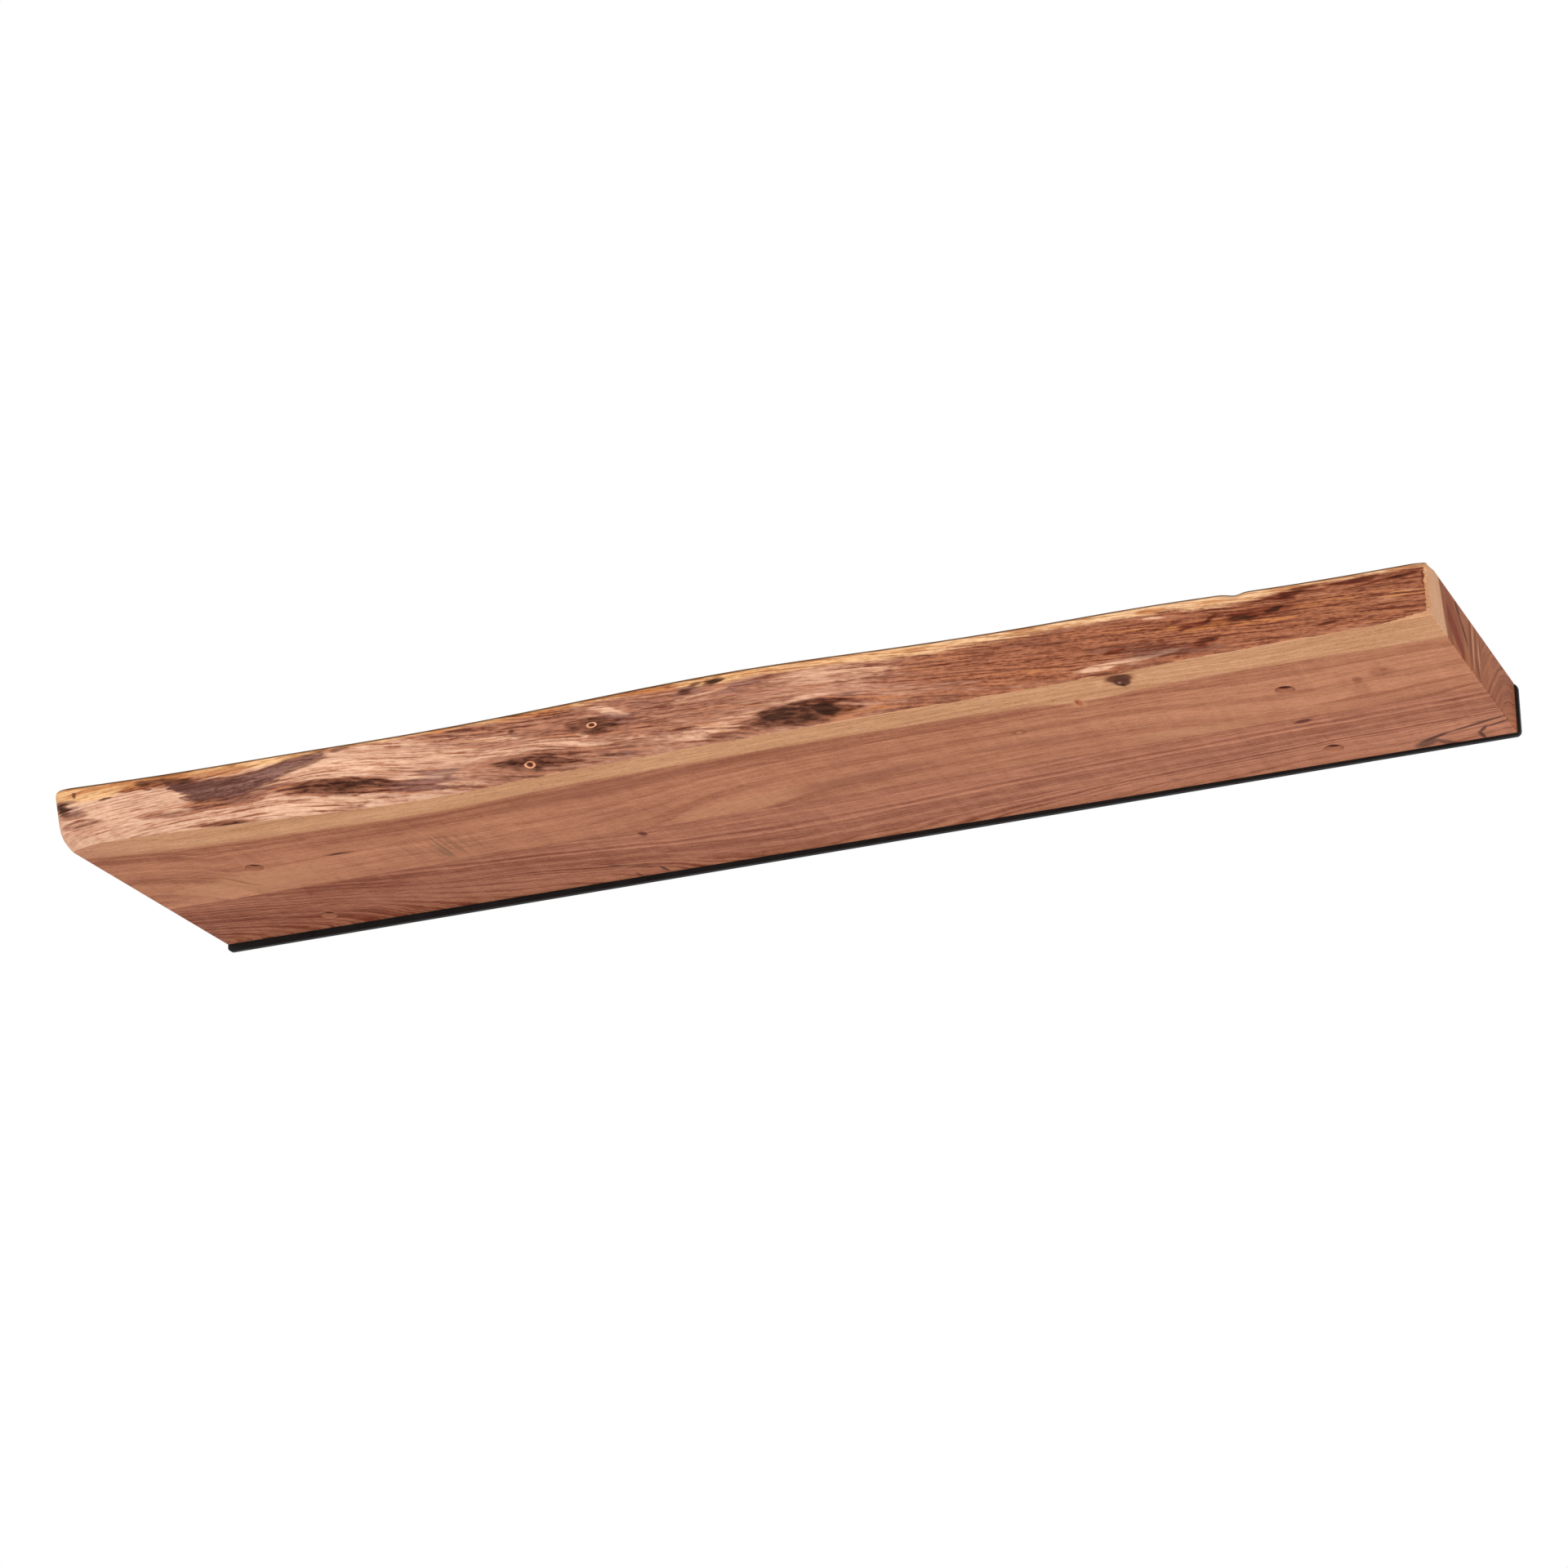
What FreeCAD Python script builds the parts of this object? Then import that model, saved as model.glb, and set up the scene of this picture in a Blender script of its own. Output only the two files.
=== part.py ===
import FreeCAD, Part
import math
import os

# A floating wall shelf: a thick board with a natural front edge, carried by a hidden steel bracket.
# All sizes are in millimetres. +X runs along the shelf, to the right as seen from the room,
# +Y goes into the wall and +Z is up. The origin lies on the wall plane, at the height of the
# bracket's arms and halfway along the board.

# ---- Board: two staves glued edge to edge ----
BOARD_LENGTH = 1100.0
BOARD_THICKNESS = 40.0
WOOD_ABOVE_ARMS = 18.0  # from the arms' centre line up to the board's top
BACK_STAVE_DEPTH = 92.0  # from the board's back face to the glue line
BOARD_DEPTH = 231.0  # from the back face to the top of the live edge, at the right-hand end

# The live edge at even steps from the left-hand end to the right-hand end:
# how far its top stands out beyond BOARD_DEPTH, and how far its foot lies behind its top.
EDGE_REACH = [37.5, 29.5, 26.0, 22.0, 22.5, 26.3, 26.5, 18.0, 11.6, 9.3, 2.0, 0.0]
EDGE_UNDERCUT = [24.0, 23.0, 31.0, 36.0, 33.0, 33.0, 32.5, 25.0, 19.0, 15.0, 6.0, 4.0]
# The face leans back evenly over its height, then curls under near its foot.
EDGE_LEAN_SHARE = 0.6  # the part of the undercut that the even lean takes
EDGE_CURL_POWER = 8  # the higher, the lower on the face the curl begins
EDGE_LEVELS = [0.0, 0.35, 0.6, 0.75, 0.86, 0.94, 1.0]  # 0 at the top, 1 at the foot

# ---- Bracket: a wall plate with two round arms welded on ----
PLATE_THICKNESS = 4.0
PLATE_OVERHANG_RIGHT = 2.3  # beyond the board's right-hand end; the left-hand ends are level
PLATE_TOP_INSET = 0.5  # below the board's top
PLATE_DROP_LEFT = 5.9  # below the board's underside at the left-hand end
PLATE_DROP_RIGHT = 1.6  # below the board's underside at the right-hand end
PLATE_CORNER_RADIUS = 4.0
WALL_HOLE_RADIUS = 2.75  # for a 5 mm wall screw
COUNTERSINK_RADIUS = 5.25
COUNTERSINK_DEPTH = 2.5
WALL_HOLE_FROM_END = 42.0  # the outermost wall hole, from the board's end
WALL_HOLE_PITCH = 203.2  # 8 inches, half the usual spacing of wall studs
WALL_HOLES_PER_SIDE = 3

ARM_FROM_LEFT_END = 113.0
ARM_FROM_RIGHT_END = 132.0
ARM_RADIUS = 7.0
ARM_LENGTH = 165.0  # from the plate's front face to the tip
ARM_TIP_CHAMFER = 1.5
SPIGOT_RADIUS = 5.0  # the turned-down end that sits in the plate
WELD_LEG = 3.0

BORE_CLEARANCE = 0.4  # all round an arm
BORE_END_GAP = 4.0  # past an arm's tip
WELD_CLEARANCE = 0.5

# ---- Locking fasteners: a flanged insert and a set screw under each arm, twice per arm ----
FRONT_FASTENER_FROM_TIP = 20.0  # from an arm's tip back to the middle of the front fastener
REAR_FASTENER_DEPTH = 27.0  # from the board's back face
RECESS_RADIUS = 7.0
RECESS_DEPTH = 7.5
INSERT_RADIUS = 5.0
INSERT_FLANGE_RADIUS = 6.5
INSERT_FLANGE_THICKNESS = 1.2
INSERT_TOP_GAP = 0.3  # below the arm's bore
SET_SCREW_RADIUS = 3.0
SET_SCREW_LENGTH = 8.0
SET_SCREW_CHAMFER = 0.5
SET_SCREW_TIP_GAP = 0.3  # below the arm
THREAD_CLEARANCE = 0.05
HEX_KEY_SIZE = 3.0  # across the flats
HEX_SOCKET_DEPTH = 3.5

# ---- Levels and planes that follow from the sizes above ----
BOARD_TOP = WOOD_ABOVE_ARMS
BOARD_BOTTOM = BOARD_TOP - BOARD_THICKNESS
BOARD_LEFT = -BOARD_LENGTH / 2
BOARD_RIGHT = BOARD_LENGTH / 2
BACK_FACE = -PLATE_THICKNESS
ARM_X = {"left": BOARD_LEFT + ARM_FROM_LEFT_END, "right": BOARD_RIGHT - ARM_FROM_RIGHT_END}
FASTENER_DEPTH = {"front": ARM_LENGTH - FRONT_FASTENER_FROM_TIP, "rear": REAR_FASTENER_DEPTH}
GLUE_LINE = BACK_FACE - BACK_STAVE_DEPTH
BORE_RADIUS = ARM_RADIUS + BORE_CLEARANCE
RECESS_FLOOR = BOARD_BOTTOM + RECESS_DEPTH


def vec(x, y, z):
    return FreeCAD.Vector(x, y, z)


def turned(profile, x, y, z, axis):
    """A solid of revolution. The profile is a list of (radius, distance along the axis)."""
    points = [vec(radius, 0, along) for radius, along in profile]
    face = Part.Face(Part.makePolygon(points + [points[0]]))
    solid = face.revolve(vec(0, 0, 0), vec(0, 0, 1), 360)
    solid.Placement = FreeCAD.Placement(vec(x, y, z), FreeCAD.Rotation(vec(0, 0, 1), axis))
    return solid


def live_edge(level):
    """The live edge's outline, in plan, at a level from 0 at the board's top to 1 at its foot."""
    share = EDGE_LEAN_SHARE * level + (1 - EDGE_LEAN_SHARE) * level**EDGE_CURL_POWER
    height = BOARD_TOP - level * BOARD_THICKNESS
    step = BOARD_LENGTH / (len(EDGE_REACH) - 1)
    points = []
    for station, (reach, undercut) in enumerate(zip(EDGE_REACH, EDGE_UNDERCUT)):
        depth = BOARD_DEPTH + reach - undercut * share
        points.append(vec(BOARD_LEFT + station * step, BACK_FACE - depth, height))
    curve = Part.BSplineCurve()
    curve.interpolate(points)
    return curve.toShape(), points[0], points[-1]


def front_stave_outline(level):
    """One closed section of the front stave: live edge, right-hand end, glue line, left-hand end."""
    edge, left, right = live_edge(level)
    right_back = vec(BOARD_RIGHT, GLUE_LINE, right.z)
    left_back = vec(BOARD_LEFT, GLUE_LINE, left.z)
    ends = [
        Part.makeLine(right, right_back),
        Part.makeLine(right_back, left_back),
        Part.makeLine(left_back, left),
    ]
    return Part.Wire([edge] + ends)


def arm_bore(x):
    """The bore for an arm, open at the board's back face, where it clears the weld."""
    length = ARM_LENGTH + BORE_END_GAP
    mouth_depth = WELD_LEG + WELD_CLEARANCE
    profile = [
        (0, 0),
        (BORE_RADIUS + mouth_depth, 0),
        (BORE_RADIUS, mouth_depth),
        (BORE_RADIUS, length),
        (0, length),
    ]
    return turned(profile, x, BACK_FACE, 0, vec(0, -1, 0))


def fastener_hole(x, depth):
    """The recess in the underside and the insert's hole, which opens into the arm's bore."""
    profile = [
        (0, 0),
        (RECESS_RADIUS, 0),
        (RECESS_RADIUS, RECESS_DEPTH),
        (INSERT_RADIUS, RECESS_DEPTH),
        (INSERT_RADIUS, -BOARD_BOTTOM),
        (0, -BOARD_BOTTOM),
    ]
    return turned(profile, x, BACK_FACE - depth, BOARD_BOTTOM, vec(0, 0, 1))


def drilled(stave):
    """A stave with the arms' bores and the fasteners' holes cut where they reach it."""
    for x in ARM_X.values():
        stave = stave.cut(arm_bore(x))
        for depth in FASTENER_DEPTH.values():
            stave = stave.cut(fastener_hole(x, depth))
    return stave.Solids[0]


def make_front_stave():
    sections = [front_stave_outline(level) for level in reversed(EDGE_LEVELS)]
    return drilled(Part.makeLoft(sections, True, True).removeSplitter())


def make_back_stave():
    corner = vec(BOARD_LEFT, GLUE_LINE, BOARD_BOTTOM)
    return drilled(Part.makeBox(BOARD_LENGTH, BACK_STAVE_DEPTH, BOARD_THICKNESS, corner))


def make_wall_plate():
    """The plate's lower edge isn't parallel with its top: it hangs lower at the left-hand end."""
    right = BOARD_RIGHT + PLATE_OVERHANG_RIGHT
    top = BOARD_TOP - PLATE_TOP_INSET
    corners = [
        vec(BOARD_LEFT, 0, BOARD_BOTTOM - PLATE_DROP_LEFT),
        vec(right, 0, BOARD_BOTTOM - PLATE_DROP_RIGHT),
        vec(right, 0, top),
        vec(BOARD_LEFT, 0, top),
    ]
    outline = Part.makePolygon(corners + [corners[0]])
    plate = Part.Face(outline).extrude(vec(0, -PLATE_THICKNESS, 0))
    across = [edge for edge in plate.Edges if abs(edge.tangentAt(edge.FirstParameter).y) > 0.9]
    plate = plate.makeFillet(PLATE_CORNER_RADIUS, across)
    screw_hole = [
        (0, 0),
        (COUNTERSINK_RADIUS, 0),
        (WALL_HOLE_RADIUS, COUNTERSINK_DEPTH),
        (WALL_HOLE_RADIUS, PLATE_THICKNESS),
        (0, PLATE_THICKNESS),
    ]
    for hole in range(WALL_HOLES_PER_SIDE):
        inset = WALL_HOLE_FROM_END + hole * WALL_HOLE_PITCH
        for x in (BOARD_LEFT + inset, BOARD_RIGHT - inset):
            plate = plate.cut(turned(screw_hole, x, BACK_FACE, 0, vec(0, 1, 0)))
    for x in ARM_X.values():
        plate = plate.cut(Part.makeCylinder(SPIGOT_RADIUS, PLATE_THICKNESS, vec(x, 0, 0), vec(0, -1, 0)))
    return plate.Solids[0]


def make_arm(x):
    """A round bar, turned down to a spigot in the plate, with its weld as a cone at its root."""
    front = PLATE_THICKNESS
    tip = PLATE_THICKNESS + ARM_LENGTH
    profile = [
        (0, 0),
        (SPIGOT_RADIUS, 0),
        (SPIGOT_RADIUS, front),
        (ARM_RADIUS + WELD_LEG, front),
        (ARM_RADIUS, front + WELD_LEG),
        (ARM_RADIUS, tip - ARM_TIP_CHAMFER),
        (ARM_RADIUS - ARM_TIP_CHAMFER, tip),
        (0, tip),
    ]
    return turned(profile, x, 0, 0, vec(0, -1, 0))


def make_insert(x, depth):
    """A flanged insert, screwed up into the wood from the recess. Its threads are plain cylinders."""
    hole_radius = SET_SCREW_RADIUS + THREAD_CLEARANCE
    top = -BORE_RADIUS - INSERT_TOP_GAP - RECESS_FLOOR
    profile = [
        (hole_radius, -INSERT_FLANGE_THICKNESS),
        (INSERT_FLANGE_RADIUS, -INSERT_FLANGE_THICKNESS),
        (INSERT_FLANGE_RADIUS, 0),
        (INSERT_RADIUS, 0),
        (INSERT_RADIUS, top),
        (hole_radius, top),
    ]
    return turned(profile, x, BACK_FACE - depth, RECESS_FLOOR, vec(0, 0, 1))


def make_set_screw(x, depth):
    """A set screw with a hexagon socket, tightened up against the arm's underside."""
    tip = -ARM_RADIUS - SET_SCREW_TIP_GAP
    profile = [
        (0, 0),
        (SET_SCREW_RADIUS - SET_SCREW_CHAMFER, 0),
        (SET_SCREW_RADIUS, SET_SCREW_CHAMFER),
        (SET_SCREW_RADIUS, SET_SCREW_LENGTH - SET_SCREW_CHAMFER),
        (SET_SCREW_RADIUS - SET_SCREW_CHAMFER, SET_SCREW_LENGTH),
        (0, SET_SCREW_LENGTH),
    ]
    bottom = tip - SET_SCREW_LENGTH
    screw = turned(profile, x, BACK_FACE - depth, bottom, vec(0, 0, 1))
    corner_radius = HEX_KEY_SIZE / 2 / math.cos(math.pi / 6)
    corners = []
    for corner in range(6):
        angle = math.pi / 3 * corner
        offset = vec(corner_radius * math.cos(angle), corner_radius * math.sin(angle), 0)
        corners.append(vec(x, BACK_FACE - depth, bottom) + offset)
    hexagon = Part.Face(Part.makePolygon(corners + [corners[0]]))
    return screw.cut(hexagon.extrude(vec(0, 0, HEX_SOCKET_DEPTH))).Solids[0]


def make_shelf():
    """Every piece by its name."""
    pieces = {
        "live_edge_stave": make_front_stave(),
        "back_stave": make_back_stave(),
        "wall_plate": make_wall_plate(),
    }
    for side, x in ARM_X.items():
        pieces["arm_" + side] = make_arm(x)
        for row, depth in FASTENER_DEPTH.items():
            pieces["insert_" + side + "_" + row] = make_insert(x, depth)
            pieces["set_screw_" + side + "_" + row] = make_set_screw(x, depth)
    return pieces


os.makedirs("parts", exist_ok=True)
for name, shape in make_shelf().items():
    box = shape.BoundBox
    print(
        name,
        shape.isValid(),
        len(shape.Solids),
        round(shape.Volume, 1),
        [round(value, 2) for value in (box.XMin, box.YMin, box.ZMin, box.XMax, box.YMax, box.ZMax)],
    )
    shape.exportStep("parts/" + name + ".step")
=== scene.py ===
# %% [markdown]
# # A floating wall shelf with a live edge
# The shelf is a thick board of two staves, glued edge to edge. Its front edge is the tree's own edge, with
# the bark taken off. The board slides onto two round arms, which are welded to a steel plate on the wall,
# and four set screws in the underside lock it there.
#
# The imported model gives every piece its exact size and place, so this script only dresses it: it rebuilds
# the visible pieces as finer surfaces, worked out with numpy, and gives each one a material made of nodes.

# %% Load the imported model
import bmesh
import bpy
import math
import numpy as np
from mathutils import Matrix, Vector


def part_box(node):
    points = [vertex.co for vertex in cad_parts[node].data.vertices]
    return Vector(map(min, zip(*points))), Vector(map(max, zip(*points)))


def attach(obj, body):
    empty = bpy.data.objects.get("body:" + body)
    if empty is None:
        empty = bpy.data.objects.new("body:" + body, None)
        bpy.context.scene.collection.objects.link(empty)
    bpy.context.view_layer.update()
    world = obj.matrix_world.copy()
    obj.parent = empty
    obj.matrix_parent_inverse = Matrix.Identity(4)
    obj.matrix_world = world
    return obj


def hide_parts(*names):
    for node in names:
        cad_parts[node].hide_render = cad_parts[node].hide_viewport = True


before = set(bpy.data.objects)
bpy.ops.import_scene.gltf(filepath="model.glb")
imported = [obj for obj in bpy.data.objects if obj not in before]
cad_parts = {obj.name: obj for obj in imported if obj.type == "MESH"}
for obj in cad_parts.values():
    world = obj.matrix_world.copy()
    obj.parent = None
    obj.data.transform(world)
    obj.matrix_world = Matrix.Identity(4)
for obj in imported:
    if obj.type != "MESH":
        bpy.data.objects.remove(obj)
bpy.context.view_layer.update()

# %% [markdown]
# ## Sizes
# A joiner works in millimetres, so the shapes below are worked out in millimetres too, and turned into
# metres when they become meshes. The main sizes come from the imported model's own boxes, so that they can't
# drift away from it. +X runs along the shelf to the right, +Y goes into the wall and +Z is up.

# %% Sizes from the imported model, in millimetres
MM = 0.001


def box_mm(node):
    """A node's lowest and highest corners, in millimetres."""
    low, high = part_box(node)
    return np.array(low) / MM, np.array(high) / MM


front_low, front_high = box_mm("live_edge_stave")
back_high = box_mm("back_stave")[1]
LEFT, RIGHT = front_low[0], front_high[0]
FOOT, TOP = front_low[2], front_high[2]
GLUE, BACK = front_high[1], back_high[1]
LENGTH, THICKNESS = RIGHT - LEFT, TOP - FOOT
print("board:", round(LENGTH, 1), "long,", round(THICKNESS, 1), "thick, glue line at y", round(GLUE, 1))

# %% [markdown]
# ## Noise and smooth lines
# Nothing in wood is even, so most surfaces need smooth noise: random numbers at the crossings of a
# lattice, blended in between. It is computed for whole arrays at once. The outline of the live edge is a
# line through a few measured points, and the smoothest such line is a natural cubic spline, the curve that
# a springy lath takes when it is bent round nails.

# %% Noise and splines


def smooth_step(value, low, high):
    """0 below low and 1 above high, with the curve 3t² - 2t³ in between."""
    t = np.clip((value - low) / (high - low), 0, 1)
    return t * t * (3 - 2 * t)


def bell(distance, reach):
    """A bell curve: 1 where the distance is 0, and nearly 0 at twice the reach."""
    return np.exp(-((distance / reach) ** 2))


def lattice_noise(u, v, seed):
    """Smooth noise from 0 to 1: random numbers at whole-number crossings, blended by 3t² - 2t³."""
    table = np.random.default_rng(seed).random((256, 256))
    column = np.floor(u).astype(int)
    row = np.floor(v).astype(int)
    a = smooth_step(u - column, 0, 1)
    b = smooth_step(v - row, 0, 1)
    near = table[column % 256, row % 256] * (1 - a) + table[(column + 1) % 256, row % 256] * a
    far = table[column % 256, (row + 1) % 256] * (1 - a) + table[(column + 1) % 256, (row + 1) % 256] * a
    return near * (1 - b) + far * b


def rough_noise(u, v, seed):
    """Two layers of lattice noise, the second twice as fine and half as strong as the first, round 0."""
    total = np.zeros(np.broadcast(u, v).shape)
    for layer in range(2):
        total += (lattice_noise(u * 2**layer, v * 2**layer, seed + layer) - 0.5) / 2**layer
    return total


def lath_curve(knots, values, x):
    """A natural cubic spline: the second derivatives at the knots solve one small set of equations."""
    knots = np.asarray(knots, float)
    values = np.asarray(values, float)
    step = np.diff(knots)
    count = len(knots)
    matrix = np.eye(count)
    bend = np.zeros(count)
    inner = np.arange(1, count - 1)
    matrix[inner, inner - 1] = step[:-1]
    matrix[inner, inner] = 2 * (step[:-1] + step[1:])
    matrix[inner, inner + 1] = step[1:]
    bend[inner] = 6 * np.diff(np.diff(values) / step)
    bend = np.linalg.solve(matrix, bend)
    i = np.clip(np.searchsorted(knots, x) - 1, 0, count - 2)
    h = step[i]
    a = x - knots[i]
    c = knots[i + 1] - x
    curved = (bend[i] * c**3 + bend[i + 1] * a**3) / (6 * h)
    return curved + (values[i] / h - bend[i] * h / 6) * c + (values[i + 1] / h - bend[i + 1] * h / 6) * a


# %% [markdown]
# ## From arrays to meshes
# A piece is a grid of points: every row is one closed ring round the piece, and the rows follow each other
# along it. Neighbouring rows are joined by four-sided faces and the first and last row are closed by one
# flat face each. The arrays can also carry numbers for the material, one for every point, as attributes.

# %% Mesh helpers


def ring_faces(rows, ring, joined):
    """Four-sided faces between neighbouring rows. Joined means that the last row meets the first."""
    row = np.arange(rows if joined else rows - 1)[:, None]
    point = np.arange(ring)[None, :]
    after = (row + 1) % rows
    beside = (point + 1) % ring
    corners = [row * ring + point, after * ring + point, after * ring + beside, row * ring + beside]
    return np.stack(np.broadcast_arrays(*corners), axis=-1).reshape(-1, 4).tolist()


def added(name, data):
    """A new object in the scene, with its mesh, lens or lamp."""
    thing = bpy.data.objects.new(name, data)
    bpy.context.scene.collection.objects.link(thing)
    return thing


def piece_from_rings(name, grid, joined=False, attributes=None):
    """A closed piece from rings of points in millimetres, with its faces turned outwards."""
    rows, ring = grid.shape[:2]
    faces = ring_faces(rows, ring, joined)
    if not joined:
        faces.append(list(range(ring)))
        faces.append(list(range((rows - 1) * ring, rows * ring)))
    mesh = bpy.data.meshes.new(name)
    mesh.from_pydata((grid.reshape(-1, 3) * MM).tolist(), [], faces)
    for label, values in (attributes or {}).items():
        layer = mesh.attributes.new(label, "FLOAT", "POINT")
        layer.data.foreach_set("value", np.ascontiguousarray(values, dtype=np.float32).ravel())
    turn_outwards(mesh)
    return added(name, mesh)


def turn_outwards(mesh):
    """Makes every face of a closed mesh point outwards."""
    work = bmesh.new()
    work.from_mesh(mesh)
    bmesh.ops.recalc_face_normals(work, faces=work.faces)
    work.to_mesh(mesh)
    work.free()


def applied(piece):
    """Puts the result of a piece's modifiers into its mesh and takes the modifiers off."""
    depsgraph = bpy.context.evaluated_depsgraph_get()
    result = bpy.data.meshes.new_from_object(
        piece.evaluated_get(depsgraph), preserve_all_data_layers=True, depsgraph=depsgraph
    )
    piece.modifiers.clear()
    piece.data = result
    result.name = piece.name


def cut_out(piece, cutters):
    """Takes the cutters' volumes out of a piece, as a drill does."""
    for cutter in cutters:
        modifier = piece.modifiers.new(cutter.name, "BOOLEAN")
        modifier.operation = "DIFFERENCE"
        modifier.solver = "EXACT"
        modifier.object = cutter
    applied(piece)


def smoothed(piece, angle):
    """Smooth shading, except across edges that are sharper than the angle, in degrees."""
    piece.data.shade_smooth()
    piece.data.set_sharp_from_angle(angle=math.radians(angle))


# %% [markdown]
# ## Camera
# The shelf hangs above eye level, so the camera looks up at it from the right and shows its underside. A
# long lens keeps the board's edges nearly parallel. The three directions below are the camera's own right,
# up and backward axes, which make up the columns of its matrix.

# %% Camera
CAMERA_PLACE = Vector((1.18962, -2.74038, -1.19315))
CAMERA_RIGHT = Vector((0.91193, 0.41035, -0.00101))
CAMERA_UP = Vector((0.15657, -0.34568, 0.9252))
CAMERA_BACK = Vector((0.3793, -0.84387, -0.37948))
LENS, SENSOR = 93.75, 36.0

lens = bpy.data.cameras.new("camera")
lens.lens = LENS
lens.sensor_width = SENSOR
lens.clip_start = 0.05
camera = added("camera", lens)
axes = Matrix((CAMERA_RIGHT, CAMERA_UP, CAMERA_BACK)).transposed()
camera.matrix_world = Matrix.Translation(CAMERA_PLACE) @ axes.to_4x4()
bpy.context.scene.camera = camera
print("camera:", [round(value, 2) for value in CAMERA_PLACE], "lens", LENS, "mm")

# %% [markdown]
# ## Shader maths
# A material is a small sum: take a place on the wood, work out how far it lies from the heart of the log,
# turn that into growth rings, and mix colours by them. Written as nodes one by one, such sums are hard to
# read. The class below wraps one output of a node, so that ordinary Python expressions add the nodes.

# %% A wire of a shader


def colour(red, green, blue):
    """A colour as seen on a screen, from 0 to 255, turned into the linear light that shaders work with."""
    parts = np.array([red, green, blue]) / 255
    linear = np.where(parts <= 0.04045, parts / 12.92, ((parts + 0.055) / 1.055) ** 2.4)
    return (*(float(part) for part in linear), 1.0)


class Wire:
    """One output of a shader node. + - * / with a wire on the left add Math nodes."""

    def __init__(self, tree, socket):
        self.tree = tree
        self.socket = socket

    def make(self, kind, settings=(), inputs=(), output=0):
        """Adds a node of any kind: its settings come first, then its inputs, and one output comes back."""
        node = self.tree.nodes.new("ShaderNode" + kind)
        for name, value in dict(settings).items():
            if name == "points":
                set_points(node.mapping, value)
            else:
                setattr(node, name, value)
        for name, value in dict(inputs).items():
            if isinstance(value, Wire):
                self.tree.links.new(value.socket, node.inputs[name])
            else:
                node.inputs[name].default_value = value
        return Wire(self.tree, node.outputs[output])

    def math(self, operation, *others):
        """A Math node on this wire and up to two more values."""
        return self.make("Math", {"operation": operation}, dict(enumerate((self, *others))))

    def __add__(self, other):
        return self.math("ADD", other)

    def __sub__(self, other):
        return self.math("SUBTRACT", other)

    def __mul__(self, other):
        return self.math("MULTIPLY", other)

    def __truediv__(self, other):
        return self.math("DIVIDE", other)

    def step(self, low, high, start=0.0, end=1.0):
        """A smooth change from start to end while this wire goes from low to high."""
        ranges = {"Value": self, "From Min": low, "From Max": high, "To Min": start, "To Max": end}
        return self.make("MapRange", {"interpolation_type": "SMOOTHSTEP"}, ranges)

    def blend(self, first, second, way="MIX"):
        """Two colours mixed by this wire: the first at 0, the second at 1."""
        settings = {"data_type": "RGBA", "blend_type": way}
        return self.make("Mix", settings, {0: self, 6: first, 7: second}, output=2)

    def scaled(self, x, y, z):
        """A place with each coordinate multiplied by its own number."""
        return self.make("VectorMath", {"operation": "MULTIPLY"}, {0: self, 1: (x, y, z)})

    def noise(self, size, detail=2.0, roughness=0.5):
        """Smooth noise round 0.5 at this place. The size of its blobs is three lengths in millimetres."""
        where = self.scaled(*(1 / length for length in size))
        inputs = {"Vector": where, "Scale": 1.0, "Detail": detail, "Roughness": roughness}
        return self.make("TexNoise", (), inputs)

    def part(self, index):
        """One coordinate of a place: 0 along the board, 1 towards the wall, 2 upwards."""
        return self.make("SeparateXYZ", (), {0: self}, output=index)

    def line_noise(self, scale, detail=2.0, roughness=0.5):
        """Smooth noise round 0.5 that depends on this one number."""
        inputs = {"W": self, "Scale": scale, "Detail": detail, "Roughness": roughness}
        return self.make("TexNoise", {"noise_dimensions": "1D"}, inputs)

    def spot(self, place, half_sizes, tilt=0.0, core=0.4):
        """1 in the core of a lens-shaped spot and 0 outside it. Place and half sizes in millimetres."""
        if tilt:
            turn = (0, 0, math.radians(tilt))
            where = {"Vector": self, "Location": place, "Rotation": turn, "Scale": half_sizes}
            local = self.make("Mapping", {"vector_type": "TEXTURE"}, where)
        else:
            offset = self.make("VectorMath", {"operation": "SUBTRACT"}, {0: self, 1: place})
            local = offset.make("VectorMath", {"operation": "DIVIDE"}, {0: offset, 1: half_sizes})
        distance = local.make("VectorMath", {"operation": "LENGTH"}, {0: local}, output="Value")
        return distance.step(core, 1.0, 1.0, 0.0)


def set_points(mapping, points):
    """Puts points, from 0 to 1 both ways, into a curve."""
    curve = mapping.curves[0]
    while len(curve.points) < len(points):
        curve.points.new(1.0, 1.0)
    for point, place in zip(curve.points, points):
        point.location = place
    mapping.update()


def new_material(name):
    """An empty material. It comes back with its place wire in millimetres and its surface shader."""
    material = bpy.data.materials.new(name)
    material.use_nodes = True
    tree = material.node_tree
    shader = next(node for node in tree.nodes if node.type == "BSDF_PRINCIPLED")
    source = tree.nodes.new("ShaderNodeTexCoord")
    place = Wire(tree, source.outputs["Object"]).scaled(1000, 1000, 1000)
    return material, place, shader


def finish_material(shader, base, roughness, height, bump, fixed):
    """Links colour, roughness and bump to the surface shader and sets its fixed sockets."""
    tree = base.tree
    normal = height.make("Bump", (), {"Height": height, "Strength": 1.0, "Distance": bump * MM})
    tree.links.new(base.socket, shader.inputs["Base Color"])
    tree.links.new(roughness.socket, shader.inputs["Roughness"])
    tree.links.new(normal.socket, shader.inputs["Normal"])
    for name, value in fixed.items():
        shader.inputs[name].default_value = value


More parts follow.
